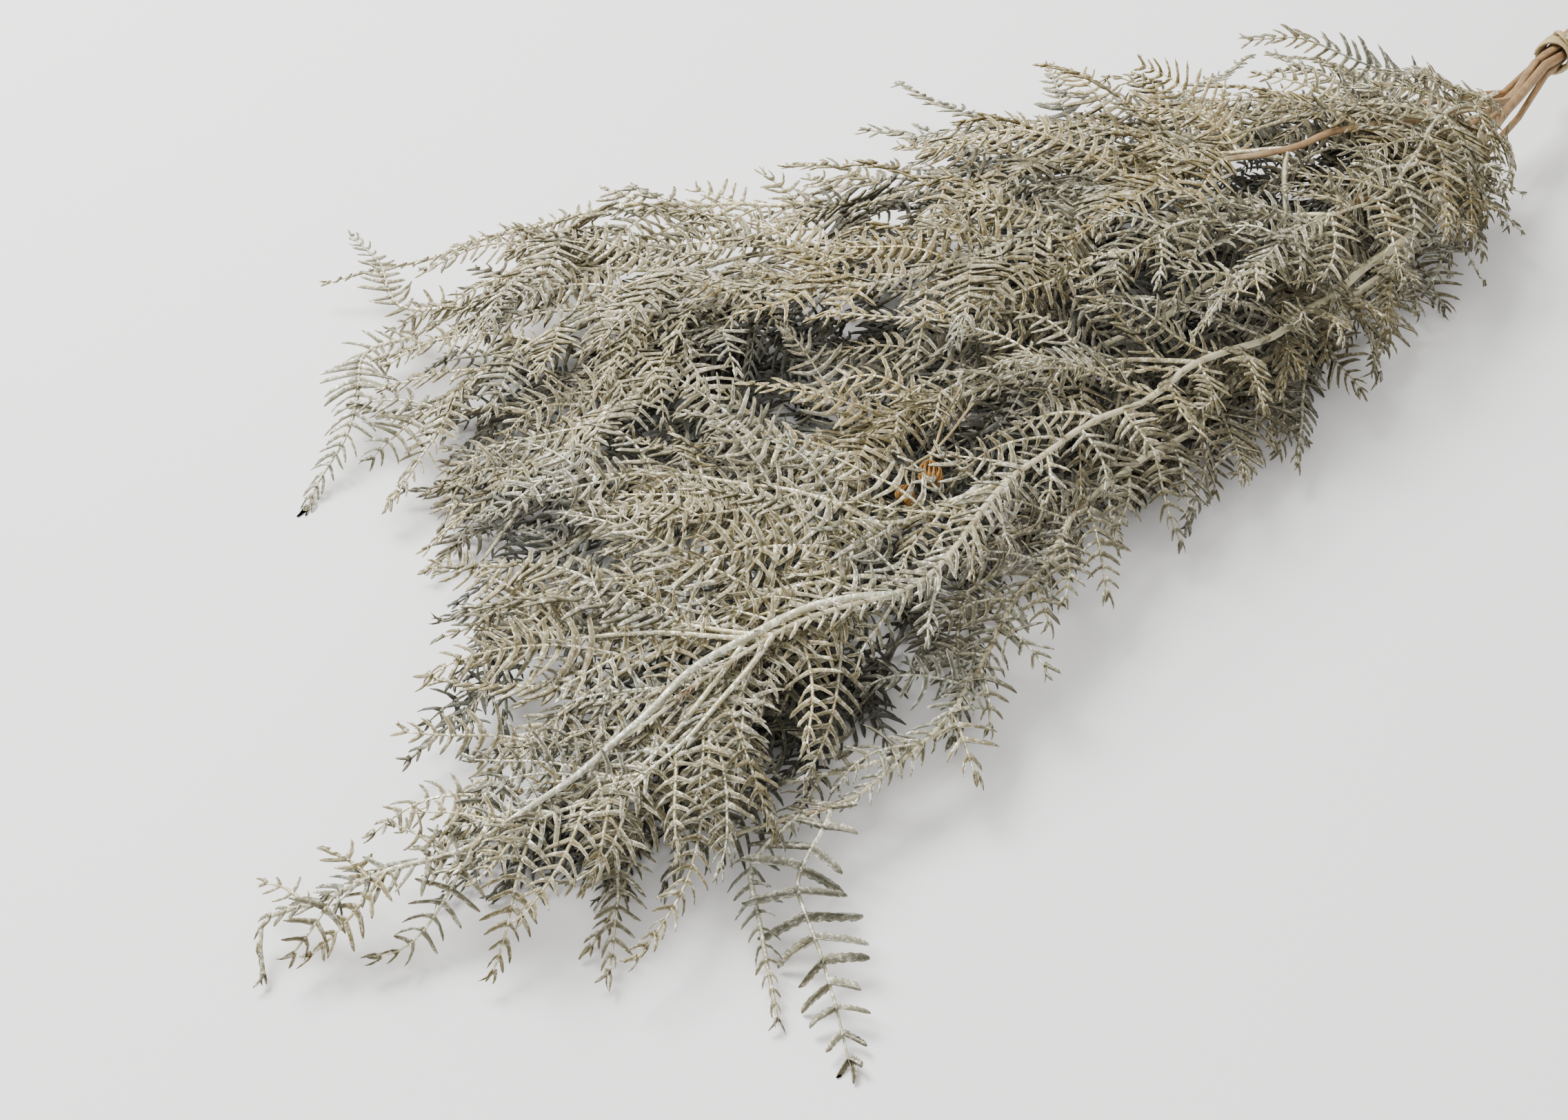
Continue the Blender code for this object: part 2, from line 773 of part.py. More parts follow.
def make_frond(name, frond, lines, taken):
    """One frond. Lines holds what every spray of the bunch takes, by frond and spray, and taken what else is."""
    pieces = []
    for key, spray in sprays_of(frond).items():
        if spray.get("comb"):
            pieces.append(comb(f"{name} {key}", spray))
            continue
        bare = 0.0
        if key == "stem":
            bare = frond["bare"]
        else:
            pieces.append(spray_tube(spray))
        others = [place for other, line in lines.items() if other != (name, key) for place in line]
        now_taken = others + taken
        pieces += pinnae_along(f"{name} {key}", spray, frond["spacing"], bare, now_taken)
        taken += now_taken[len(others) + len(taken) :]
    return fuse(stem_tube(frond["place"], frond["stem"]), pieces, name)


def make_tie():
    """The raffia round the stems: turns of cord side by side, as one ring."""
    bore = BUNDLE_RING_RADIUS + STEM_RADIUS + TIE_GAP
    width = 2 * TIE_CORD_RADIUS * TIE_TURNS
    section = [(bore, width / 2), (bore, -width / 2)]
    for turn in range(TIE_TURNS):
        middle = -width / 2 + TIE_CORD_RADIUS * (2 * turn + 1)
        for k in range(TIE_TURN_POINTS):
            angle = math.pi * k / TIE_TURN_POINTS
            out = bore + TIE_CORD_RADIUS * (TIE_CORD_INSET + math.sin(angle))
            section.append((out, middle - TIE_CORD_RADIUS * math.cos(angle)))
    section.append((bore + TIE_CORD_RADIUS * TIE_CORD_INSET, width / 2))
    builder = bmesh.new()
    ring = [builder.verts.new((radius, 0, along)) for radius, along in section]
    edges = [builder.edges.new((a, b)) for a, b in zip(ring, ring[1:] + ring[:1])]
    bmesh.ops.spin(
        builder,
        geom=ring + edges,
        cent=(0, 0, 0),
        axis=(0, 0, 1),
        angle=2 * math.pi,
        steps=TIE_SIDES,
        use_merge=True,
    )
    bmesh.ops.remove_doubles(builder, verts=builder.verts, dist=WELD_DISTANCE)
    bmesh.ops.recalc_face_normals(builder, faces=builder.faces)
    mesh = bpy.data.meshes.new("raffia_tie")
    builder.to_mesh(mesh)
    builder.free()
    mesh.shade_smooth()
    tie = bpy.data.objects.new("raffia_tie", mesh)
    bpy.context.scene.collection.objects.link(tie)
    centre, along = bundle_axis(TIE_SHARE)
    tie.rotation_euler = along.to_track_quat("Z", "Y").to_euler()
    tie.location = centre
    return tie


def make_seed_head(head):
    """A closed umbel: a cup whose rays stand out of it as ridges."""
    builder = bmesh.new()
    bmesh.ops.create_cone(builder, cap_ends=True, segments=2 * SEED_RAYS, radius1=1.0, radius2=1.0, depth=1.0)
    uprights = [e for e in builder.edges if abs(e.verts[0].co.z - e.verts[1].co.z) > 0.5]
    bmesh.ops.subdivide_edges(builder, edges=uprights, cuts=len(SEED_HEAD_RINGS) - 2)
    heights = sorted({round(v.co.z, 4) for v in builder.verts})
    for vert in builder.verts:
        share, swell = SEED_HEAD_RINGS[heights.index(round(vert.co.z, 4))]
        turn = round(math.atan2(vert.co.y, vert.co.x) / math.pi * SEED_RAYS)
        radius = head["radius"] * swell * (1.0 if turn % 2 == 0 else SEED_VALLEY)
        angle = turn * math.pi / SEED_RAYS
        vert.co = (radius * math.cos(angle), radius * math.sin(angle), share * head["length"])
    mesh = bpy.data.meshes.new("seed_head")
    bmesh.ops.recalc_face_normals(builder, faces=builder.faces)
    builder.to_mesh(mesh)
    builder.free()
    mesh.transform(Vector(head["towards"]).to_track_quat("Z", "Y").to_matrix().to_4x4())
    made = bpy.data.objects.new("seed_head", mesh)
    bpy.context.scene.collection.objects.link(made)
    made.location = head["base"]
    return made


def straw_over_rachis():
    """Where the straw hangs over the rachis of the centre frond."""
    rachis = at_level(Vector(STRAW_OVER_RACHIS))
    return rachis + Vector((0, 0, STEM_RADIUS + NODE_GAP + STRAW_RADIUS))


def make_seed_heads():
    over = straw_over_rachis()
    end = over + Vector(STRAW_END_OFFSET)
    lines = [[end, over, *STRAWS[0]], *STRAWS[1:]]
    straws = []
    for line in lines:
        straws.append(tube("straw", [Vector(p) for p in line], [STRAW_RADIUS] * len(line), THIN_BEVEL))
    heads = [make_seed_head(head) for head in SEED_HEADS]
    return fuse(straws[0], straws[1:] + heads, "seed_heads")


def finish(solid, colour, roughness, group):
    material = bpy.data.materials.new(solid.name)
    material.use_nodes = True
    surface = material.node_tree.nodes["Principled BSDF"]
    surface.inputs["Base Color"].default_value = colour
    surface.inputs["Roughness"].default_value = roughness
    solid.data.materials.clear()
    solid.data.materials.append(material)
    bpy.context.scene.collection.objects.unlink(solid)
    group.objects.link(solid)


def main():
    clear_scene()
    bunch = bpy.data.collections.new("dried_fern_bunch")
    cutters = bpy.data.collections.new("cutters")
    for group in (bunch, cutters):
        bpy.context.scene.collection.children.link(group)
    table = make_table_cutter(cutters)
    lines = {}
    for name, frond in FRONDS.items():
        for key, spray in sprays_of(frond).items():
            lines[name, key] = claim(smooth_route(spray["route"], RIB_STEP), spray["room"])
    taken = [(flat(Vector(p)), *STRAW_LEVELS) for line in STRAWS for p in line]
    for name, frond in FRONDS.items():
        made = make_frond(name, frond, lines, taken)
        press_flat(made, table)
        drop_scraps(made)
        finish(made, LEAF_COLOUR, LEAF_ROUGHNESS, bunch)
    finish(make_tie(), RAFFIA_COLOUR, FIBRE_ROUGHNESS, bunch)
    finish(make_seed_heads(), SEED_COLOUR, FIBRE_ROUGHNESS, bunch)


main()
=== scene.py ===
"""Dried fern bunch: its fronds, tie and seed heads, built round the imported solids, and their stage.

Six fronds leave one tied bundle of twisted stems and lie in a low pile. Every frond has a stem, sprays that
branch from it, and combs along those sprays: thin ribs with a row of narrow, gutter-shaped leaflets on each
side.
Units are metres. +X runs from the stems to the tips, +Y towards the viewer and +Z up.
"""

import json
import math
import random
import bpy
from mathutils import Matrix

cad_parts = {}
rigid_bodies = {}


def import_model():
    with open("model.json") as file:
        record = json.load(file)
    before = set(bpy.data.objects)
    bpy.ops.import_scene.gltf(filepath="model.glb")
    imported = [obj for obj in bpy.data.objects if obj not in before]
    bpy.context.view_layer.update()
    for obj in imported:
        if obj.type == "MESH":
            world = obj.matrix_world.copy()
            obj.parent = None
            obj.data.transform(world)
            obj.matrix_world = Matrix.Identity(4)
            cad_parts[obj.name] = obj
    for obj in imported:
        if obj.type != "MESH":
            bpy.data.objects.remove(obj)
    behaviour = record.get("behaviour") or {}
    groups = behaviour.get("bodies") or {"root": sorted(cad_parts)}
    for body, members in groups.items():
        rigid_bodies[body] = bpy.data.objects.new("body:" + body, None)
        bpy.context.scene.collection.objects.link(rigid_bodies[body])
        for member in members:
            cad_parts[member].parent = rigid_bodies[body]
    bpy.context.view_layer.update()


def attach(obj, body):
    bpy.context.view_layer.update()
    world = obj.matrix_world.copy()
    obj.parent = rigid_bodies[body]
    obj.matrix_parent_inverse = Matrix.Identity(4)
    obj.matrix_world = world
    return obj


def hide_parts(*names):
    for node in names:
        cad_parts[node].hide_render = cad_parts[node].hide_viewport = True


bl_info = {
    "name": "Dried fern bunch",
    "version": (1, 0, 0),
    "blender": (4, 5, 0),
    "location": "View3D > Sidebar > Fern bunch",
    "description": "Builds a tied bunch of dried, whitewashed fern fronds and its stage",
    "category": "Object",
}

import bpy
from mathutils import Vector, noise as wave

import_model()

UP = Vector((0, 0, 1))
BODY = "root"

# The pile: the crown line's height over the table, from the tie to the tips, and how it falls to the sides.
PILE_START_X = -0.25
PILE_LENGTH = 0.53
PILE_CENTRE_Y = -0.02
PILE_EDGE_HEIGHT = 0.012
PILE_RISE = 0.047
PILE_PEAK_POWER = 0.893
PILE_HALF_WIDTH_AT_TIE = 0.035
PILE_HALF_WIDTH_GROWTH = 0.115
PILE_WIDE_FROM = 0.7
PILE_SIDE_FALL = 1.2
TIE_LIFT = 0.010
SLOPE_REACH = 0.004

# The pile's edge in plan, towards the viewer and away from them.
NEAR_EDGE = [
    (-0.20, 0.004), (-0.17, 0.016), (-0.14, 0.034), (-0.09, 0.042), (-0.06, 0.054), (-0.02, 0.066),
    (0.02, 0.062), (0.04, 0.072), (0.08, 0.072), (0.12, 0.092), (0.16, 0.110), (0.19, 0.104), (0.22, 0.090),
    (0.27, 0.044),
]
FAR_EDGE = [
    (-0.20, -0.016), (-0.15, -0.045), (-0.10, -0.064), (-0.05, -0.088), (0.00, -0.098), (0.05, -0.106),
    (0.08, -0.130), (0.13, -0.133), (0.17, -0.100), (0.19, -0.030), (0.22, 0.004), (0.27, 0.030),
]
PILE_END = 0.268

# The bundle of stems, from where the fronds part to the cut ends.
BUNDLE_AXIS = [
    (-0.210, -0.007, 0.0235),
    (-0.260, -0.022, 0.0175),
    (-0.310, -0.036, 0.0100),
    (-0.365, -0.050, 0.0044),
]
BUNDLE_STEP = 0.02
BUNDLE_RING_RADIUS = 0.00285
BUNDLE_TWIST = math.radians(-300)
TIE_SHARE = 0.11

# The radii of stems, rachises and ribs, from foot to tip.
STEM_RADIUS = 0.00125
STEM_TIP_RADIUS = 0.0004
STEM_TAPER_POWER = 0.9
SPRAY_RADIUS = 0.00085
SPRAY_TIP_RADIUS = 0.00035
COMB_RADIUS = 0.00054
COMB_TIP_RADIUS = 0.00026

# Where no comb above this level passes over the bare stems: x, y and radius.
CLEARING_LEVEL = 0.5
CLEARINGS = [
    (-0.094, 0.006, 0.011),
    (-0.082, 0.006, 0.011),
    (-0.070, 0.007, 0.011),
    (-0.082, -0.010, 0.006),
    (0.066, 0.030, 0.008),
    (0.076, 0.034, 0.010),
    (0.086, 0.038, 0.010),
]

# Steps along the lines that the tubes and leaflets follow, how many run along the bundle, and in how many a
# stem turns from the bundle's way to the pile's.
STEM_STEP = 0.004
COMB_STEP = 0.0036
BUNDLE_STEPS = 60
TURN_STEPS = 10

# Where a stem's paint begins, over what length, and how much of the bare wood stays beyond.
BARE_UNTIL = -0.15
BARE_FADE = 0.04
BARE_LOSS = 0.9
RACHIS_BARE = 0.25

# Combs. Pairs are the ends of a random range: angle from the spray in degrees, length as a share of the
# longest, shift along the spray in spacings, bend in radians, arch and lift as shares of the length, and
# change of level. Single values: the least number of steps, how far the two sides alternate, how much shorter
# combs get towards the spray's tip, where the last one stands, the spread of their rolls and how a roll grows
# along a comb, the same for a spray, how far they pass the pile's edge, and how near they come to its height.
COMB_ANGLE = (36, 66)
COMB_LENGTH = (0.6, 1.25)
COMB_SHIFT = (-0.15, 0.15)
COMB_LEAST_STEPS = 4
COMB_STAGGER = 0.25
COMB_BEND = (0.2, 0.6)
COMB_ARCH = (0.0, 0.10)
COMB_LIFT = (-0.10, 0.10)
COMB_LEVEL = (-0.16, 0.14)
COMB_SHORTENING = 0.75
COMB_LAST_SHARE = 0.88
COMB_ROLL = 0.45
COMB_ROLL_AT_FOOT = 0.6
COMB_ROLL_GAIN = 0.4
SPRAY_ROLL = 0.3
COMB_MARGIN = 0.005
ROOF_SHARE = 0.97

# Side sprays, in the same way: angle, length, turn back at each leg, change of level, length of their combs,
# and leaflet size by their parent's.
SIDE_ANGLE = (26, 48)
SIDE_LENGTH = (0.075, 0.125)
SIDE_TURN = (6, 14)
SIDE_LEVEL = (-0.45, 0.02)
SIDE_COMBS = (0.026, 0.040)
SIDE_LEAF = (0.9, 1.1)
SIDE_LOWEST = 0.12
SIDE_HIGHEST = 0.94
SIDE_LEGS = 4
SIDE_BARE = 0.006
SIDE_MARGIN = -0.010

# Leaflets along a comb: their length at its foot, how it swells and tapers, and where, as shares of the
# longest leaflet and of the comb. Then their random size, their size on a comb of no length, the length that
# adds a full size, the shortest leaflet that grows, and the lean at the comb's tip.
LEAF_AT_FOOT = 0.70
LEAF_SWELL = 0.30
LEAF_FULL_AT = 0.22
LEAF_TAPER = 0.58
LEAF_TAPER_FROM = 0.35
LEAF_TAPER_OVER = 0.65
LEAF_SIZES = (0.85, 1.12)
LEAF_ON_SHORTEST = 0.55
LEAF_GROWTH_LENGTH = 0.08
SHORTEST_LEAFLET = 0.0008
TIP_LEAN = 0.7

# Leaflets on the rachis of a spray with combs: from where, over what share they come in, and how they shrink.
RACHIS_LEAVES_FROM = 0.60
RACHIS_LEAVES_ONSET = 0.10
RACHIS_SHRINK = 0.7
RACHIS_SHRINK_FROM = 0.7
RACHIS_SHRINK_OVER = 0.3

# What the coarse leaflets of one tip have more of, or less.
COARSE_SPACING = 1.55
COARSE_DISORDER = 2.0
COARSE_WIDTH = 1.5
COARSE_BEND = 0.4

# How far lines waver, over what length and from what x on.
WANDER = 0.0022
WANDER_LENGTH = 0.022
WANDER_START = -0.185
WANDER_ONSET = 0.03
WANDER_SEED = 7

# How deep a line lies under others before it gets painted shade and less paint: cell in plan, first depth and
# further depth.
COVER_CELL = 0.006
COVER_START = 0.002
COVER_DEPTH = 0.022
# The painted shade's share at the pile's near edge, its gain inwards, and how far in the side light reaches.
SHADE_AT_EDGE = 0.35
SHADE_INWARD = 0.65
SIDE_LIGHT_REACH = 0.035

# The least height of a surface and of a rib's line over the table.
TABLE_CLEARANCE = 0.0003
LINE_CLEARANCE = 0.0028


def new_frond(**more):
    """A frond's settings.

    place is its stem's angle round the bundle's ring, or None in the middle. warmth, paleness and disorder
    are its leaflets'. openness spaces its side sprays, thinness spaces its combs, and its stem is bare up to
    bare_until in x. The first of its sprays is the stem's own run through the foliage.
    """
    return {"openness": 1.0, "thinness": 1.0, "bare_until": BARE_UNTIL, **more}


def spray(route, near, far, **more):
    """A spray, by its route as (x, y, level in the pile) and its longest combs on the near and the far side.

    leaf is its leaflets' length, curl how much its combs hook, and bare how far from its foot they start.
    sink lowers its near combs, cover is the level that its combs rise to, and girth thickens its rachis.
    """
    usual = {"leaf": 0.0094, "curl": 0.4, "bare": 0.0, "sink": 0.0, "cover": 0.0, "girth": 1.0}
    return {"route": route, "near": near, "far": far, "coarse": False, **usual, **more}


def tip(route, leaf, **more):
    """A spray that bears leaflets only."""
    return spray(route, 0.0, 0.0, leaf=leaf, **more)


FRONDS = {
    "frond_under": new_frond(
        place=270, warmth=0.60, paleness=0.25, disorder=0.20, openness=0.50, thinness=1.8, sprays=[
        spray([(-0.190, -0.003, 0.52), (-0.165, 0.000, 0.36), (-0.135, 0.002, 0.18),
               (-0.095, 0.003, 0.07), (-0.040, 0.0010, 0.030), (-0.014, 0.0007, 0.005),
               (0.018, 0.0007, 0.005), (0.040, 0.0020, 0.030), (0.120, 0.018, 0.06),
               (0.180, 0.026, 0.10)], 0.060, 0.063, bare=0.05),
        spray([(-0.090, 0.003, 0.07), (-0.060, 0.022, 0.08), (-0.015, 0.040, 0.08), (0.040, 0.046, 0.08)],
               0.042, 0.035),
        spray([(0.030, 0.001, 0.04), (0.080, 0.038, 0.08), (0.125, 0.064, 0.08), (0.165, 0.076, 0.10)],
               0.052, 0.045),
        spray([(-0.110, 0.003, 0.10), (-0.060, -0.036, 0.08), (-0.015, -0.060, 0.08),
               (0.040, -0.078, 0.08)], 0.045, 0.056),
        spray([(0.020, 0.001, 0.03), (0.070, -0.030, 0.08), (0.120, -0.056, 0.08), (0.160, -0.066, 0.10)],
               0.049, 0.060),
    ]),
    "frond_right": new_frond(place=342, warmth=0.50, paleness=0.75, disorder=0.30, sprays=[
        spray([(-0.188, 0.004, 0.52), (-0.155, 0.014, 0.42), (-0.111, 0.027, 0.28), (-0.058, 0.036, 0.26),
               (-0.021, 0.043, 0.30), (0.000, 0.050, 0.36), (0.025, 0.053, 0.42), (0.058, 0.062, 0.48),
               (0.097, 0.080, 0.52), (0.126, 0.092, 0.55), (0.153, 0.094, 0.52), (0.177, 0.084, 0.45)],
               0.045, 0.052, bare=0.02),
        tip([(0.158, 0.093, 0.50), (0.174, 0.104, 0.45), (0.180, 0.119, 0.35), (0.189, 0.141, 0.12)],
             0.0116, coarse=True, girth=0.75),
        tip([(0.164, 0.090, 0.49), (0.178, 0.093, 0.40), (0.186, 0.107, 0.30), (0.195, 0.124, 0.12)],
             0.0060),
        tip([(-0.070, 0.034, 0.26), (-0.050, 0.046, 0.27), (-0.035, 0.058, 0.26), (-0.018, 0.071, 0.20)],
             0.0070),
        tip([(-0.105, 0.028, 0.28), (-0.090, 0.038, 0.27), (-0.078, 0.047, 0.24), (-0.066, 0.056, 0.18)],
             0.0070),
        spray([(-0.170, 0.004, 0.49), (-0.163, 0.014, 0.42), (-0.150, 0.024, 0.34),
               (-0.134, 0.033, 0.20)], 0.022, 0.020, curl=2.2, leaf=0.0050, sink=0.4),
        spray([(-0.178, 0.002, 0.52), (-0.165, 0.008, 0.50), (-0.153, 0.018, 0.30),
               (-0.138, 0.027, 0.10)], 0.020, 0.018, curl=2.4, leaf=0.0046, sink=0.4),
        spray([(-0.168, 0.004, 0.55), (-0.154, 0.012, 0.60), (-0.138, 0.022, 0.42),
               (-0.120, 0.036, 0.18)], 0.022, 0.020, curl=2.0, leaf=0.0050, sink=0.4),
    ]),
    "frond_back": new_frond(place=198, warmth=0.60, paleness=0.75, disorder=0.18, sprays=[
        spray([(-0.192, -0.006, 0.56), (-0.163, -0.019, 0.48), (-0.119, -0.036, 0.42),
               (-0.066, -0.051, 0.40), (-0.009, -0.074, 0.40), (0.013, -0.080, 0.40),
               (0.054, -0.073, 0.40), (0.079, -0.061, 0.40), (0.108, -0.048, 0.42), (0.140, -0.041, 0.45),
               (0.178, -0.022, 0.30)], 0.060, 0.060, bare=0.02),
        spray([(0.010, -0.079, 0.40), (0.051, -0.110, 0.50), (0.077, -0.122, 0.60), (0.103, -0.116, 0.60),
               (0.125, -0.112, 0.50), (0.149, -0.121, 0.35)], 0.052, 0.049),
        spray([(0.040, -0.076, 0.40), (0.084, -0.086, 0.50), (0.113, -0.081, 0.55), (0.141, -0.081, 0.50),
               (0.163, -0.082, 0.40), (0.171, -0.100, 0.25)], 0.060, 0.049),
        tip([(0.070, -0.119, 0.58), (0.090, -0.130, 0.60), (0.125, -0.142, 0.55), (0.150, -0.157, 0.35)],
             0.0062),
        tip([(0.128, -0.113, 0.48), (0.142, -0.126, 0.55), (0.137, -0.148, 0.60), (0.136, -0.166, 0.60)],
             0.0078),
        tip([(0.143, -0.118, 0.38), (0.160, -0.117, 0.40), (0.173, -0.098, 0.35), (0.197, -0.081, 0.05)],
             0.0100),
        tip([(-0.075, -0.049, 0.40), (-0.060, -0.072, 0.40), (-0.053, -0.098, 0.44),
             (-0.048, -0.132, 0.48)], 0.0105),
        tip([(-0.080, -0.047, 0.40), (-0.098, -0.062, 0.42), (-0.117, -0.068, 0.44),
             (-0.150, -0.077, 0.46)], 0.0090),
        tip([(-0.064, -0.052, 0.40), (-0.070, -0.074, 0.42), (-0.078, -0.090, 0.46),
             (-0.092, -0.110, 0.50)], 0.0095),
        tip([(-0.150, -0.024, 0.46), (-0.168, -0.040, 0.42), (-0.168, -0.055, 0.44),
             (-0.160, -0.073, 0.48)], 0.0085),
    ]),
    "frond_centre": new_frond(
        place=None, warmth=0.85, paleness=0.55, disorder=0.18, bare_until=-0.055, sprays=[
        spray([(-0.188, -0.002, 0.59), (-0.120, 0.012, 0.56), (-0.076, 0.017, 0.56),
               (-0.044, 0.018, 0.56), (-0.015, 0.023, 0.56), (0.013, 0.022, 0.56), (0.044, 0.017, 0.56),
               (0.068, 0.013, 0.56), (0.102, 0.008, 0.56), (0.132, -0.008, 0.56), (0.162, -0.008, 0.50),
               (0.176, -0.007, 0.40)], 0.049, 0.060, bare=0.02),
    ]),
    "frond_middle": new_frond(
        place=126, warmth=0.90, paleness=0.55, disorder=0.18, bare_until=-0.055, sprays=[
        spray([(-0.184, 0.002, 0.68), (-0.106, 0.004, 0.84), (-0.068, 0.004, 0.88),
               (-0.029, -0.013, 0.80), (0.000, -0.016, 0.72), (0.030, -0.018, 0.72),
               (0.053, -0.027, 0.72), (0.075, -0.046, 0.72), (0.084, -0.064, 0.72)], 0.060, 0.063,
               bare=0.02),
        tip([(-0.020, -0.015, 0.72), (0.012, 0.002, 0.72), (0.043, -0.004, 0.72), (0.066, -0.020, 0.72)],
             0.0080),
        spray([(-0.090, 0.004, 0.72), (-0.050, -0.030, 0.72), (-0.015, -0.048, 0.72),
               (0.030, -0.058, 0.72)], 0.052, 0.060),
    ]),
    "frond_front": new_frond(place=54, warmth=0.65, paleness=0.60, disorder=0.26, sprays=[
        spray([(-0.180, 0.007, 0.80), (-0.150, 0.017, 0.72), (-0.096, 0.034, 0.60), (-0.039, 0.045, 0.62),
               (0.018, 0.050, 0.80), (0.072, 0.058, 1.00), (0.114, 0.068, 1.07), (0.152, 0.060, 1.08),
               (0.190, 0.060, 1.06)], 0.032, 0.045, bare=0.01, leaf=0.0074, curl=0.9, cover=0.92),
        spray([(-0.168, 0.006, 0.86), (-0.130, 0.012, 0.92), (-0.088, 0.032, 0.94), (-0.040, 0.033, 0.94),
               (0.000, 0.046, 0.92)], 0.036, 0.030, leaf=0.0086, curl=0.7),
        spray([(0.075, 0.058, 0.92), (0.105, 0.049, 0.92), (0.126, 0.037, 0.92), (0.151, 0.028, 0.92),
               (0.179, 0.014, 0.88), (0.192, 0.007, 0.80), (0.199, 0.018, 0.70)], 0.032, 0.052),
        spray([(0.108, 0.067, 0.94), (0.128, 0.054, 0.94), (0.157, 0.046, 0.94), (0.192, 0.045, 0.94),
               (0.221, 0.048, 0.85), (0.236, 0.056, 0.70)], 0.032, 0.060),
        spray([(0.120, 0.068, 1.06), (0.140, 0.060, 1.08), (0.164, 0.056, 1.08), (0.193, 0.060, 1.06),
               (0.216, 0.062, 1.00), (0.238, 0.055, 0.85), (0.264, 0.043, 0.60), (0.272, 0.041, 0.45),
               (0.276, 0.049, 0.15)], 0.062, 0.024, sink=0.85, girth=1.7, leaf=0.0084, curl=0.25),
    ]),
}

# The seed heads of a stray umbel, which hangs by its straw over a rachis of the centre frond.
STRAW_RADIUS = 0.0004
STRAW_THINNESS = 0.8
STRAW_STEP = 0.0015
STRAW_DROP = (-0.006, -0.005, -0.0004)
STRAW_OVER_RACHIS = (0.0545, 0.0152, 0.56)
STRAW_FORK = (0.0790, 0.0340, 0.0365)
STRAWS = [
    [(0.0600, 0.0205, 0.0350), STRAW_FORK],
    [(0.0585, 0.0265, 0.0372), STRAW_FORK],
    [STRAW_FORK, (0.0818, 0.0368, 0.0364)],
    [STRAW_FORK, (0.0870, 0.0345, 0.0352), (0.0905, 0.0392, 0.0352)],
]
SEED_HEADS = [
    {"base": (0.0812, 0.0362, 0.0366), "towards": (0.66, 0.73, -0.20), "length": 0.0060, "radius": 0.0027},
    {"base": (0.0903, 0.0388, 0.0353), "towards": (0.88, 0.38, -0.25), "length": 0.0045, "radius": 0.0022},
]

# The rays of a seed head: how many, the inner layer's width, how far they stray, their lengths, how they swell
# round the cup, their radius, and the seed near their end.
SEED_RAYS = 15
RAY_STEPS = 10
INNER_RAYS = 0.55
RAY_STRAY = (-0.25, 0.25)
RAY_LENGTHS = (0.85, 1.1)
RAY_SWELL_START = 0.08
RAY_SWELL_RUN = 0.72
RAY_SWELL_POWER = 0.8
RAY_RADIUS = 0.00017
RAY_SEED_RADIUS = 0.00030
RAY_SEED_AT = 0.82
RAY_SEED_LENGTH = 0.14

# The camera, by the photograph: its place over the table, its tilt down, its heading and its lens.
CAMERA_AT = (0.346, 0.328, 0.373)
CAMERA_TILT = math.radians(43.3)
CAMERA_HEADING = (-0.6, -0.8)
CAMERA_LENS = 48.1
CAMERA_SENSOR = 36.0
CAMERA_NEAREST = 0.01

# The stage: the floor's width, and each soft light's place, width and share of the key light's power.
FLOOR_WIDTH = 6.0
LAMPS = {"key": ((0.25, -0.85, 1.15), 0.7, 1.0), "fill": ((0.75, 0.55, 1.10), 1.4, 0.2)}
ROOM_COLOUR = (1.0, 0.995, 0.985, 1.0)

# The raffia: turns, steps in a turn, radius of a strand, where it starts, how it wavers, how far the second
# strand lies outside the first, and the knot and tails, as (along the bundle, across it, up) from the knot.
TIE_TURNS = 4
TIE_STEPS = 22
STRAND_RADIUS = 0.0010
STRAND_START = (-0.3, 0.3)
STRAND_WAVER = 0.0002
STRAND_WAVER_PACE = 3.1
STRAND_GAP = 0.0004
KNOT_RISE = 0.0006
KNOT_STEP = 0.001
TAILS = (
    [(0, 0, 0), (0.002, 0.004, 0.0014), (0.001, 0.009, -0.001), (0.004, 0.014, -0.007),
     (0.006, 0.017, -0.014)],
    [(0, 0, 0), (-0.002, 0.003, 0.0018), (-0.006, 0.007, 0.001), (-0.011, 0.012, -0.004),
     (-0.014, 0.014, -0.010)],
    [(-0.002, -0.002, -0.0005), (0.0, -0.001, 0.0016), (0.002, 0.001, 0.0016), (0.002, 0.003, -0.0003)],
)


def smooth_step(value):
    value = min(1.0, max(0.0, value))
    return value * value * (3 - 2 * value)


def pile_height(x, y):
    """The pile's height over the table at a plan position."""
    along = min(1.0, max(0.0, (x - PILE_START_X) / PILE_LENGTH))
    crown = PILE_RISE * math.sin(math.pi * along**PILE_PEAK_POWER)
    growth = math.sin(math.pi / 2 * min(1.0, along / PILE_WIDE_FROM))
    across = (y - PILE_CENTRE_Y) / (PILE_HALF_WIDTH_AT_TIE + PILE_HALF_WIDTH_GROWTH * growth)
    return PILE_EDGE_HEIGHT + crown * math.exp(-PILE_SIDE_FALL * across**2) + TIE_LIFT * (1 - along) ** 2


def edge_at(edge, x):
    """The y of an edge line at x."""
    for (x0, y0), (x1, y1) in zip(edge, edge[1:]):
        if x <= x1:
            return y0 + (y1 - y0) * (max(x, x0) - x0) / (x1 - x0)
    return edge[-1][1]


def inside_pile(x, y, margin):
    """Whether the place is less than a margin outside the pile's edges, and short of its end."""
    return x < PILE_END and edge_at(FAR_EDGE, x) - margin < y < edge_at(NEAR_EDGE, x) + margin


def in_clearing(x, y):
    """Whether the place is in one of the gaps through which a bare stem shows."""
    return any((x - cx) ** 2 + (y - cy) ** 2 < radius**2 for cx, cy, radius in CLEARINGS)


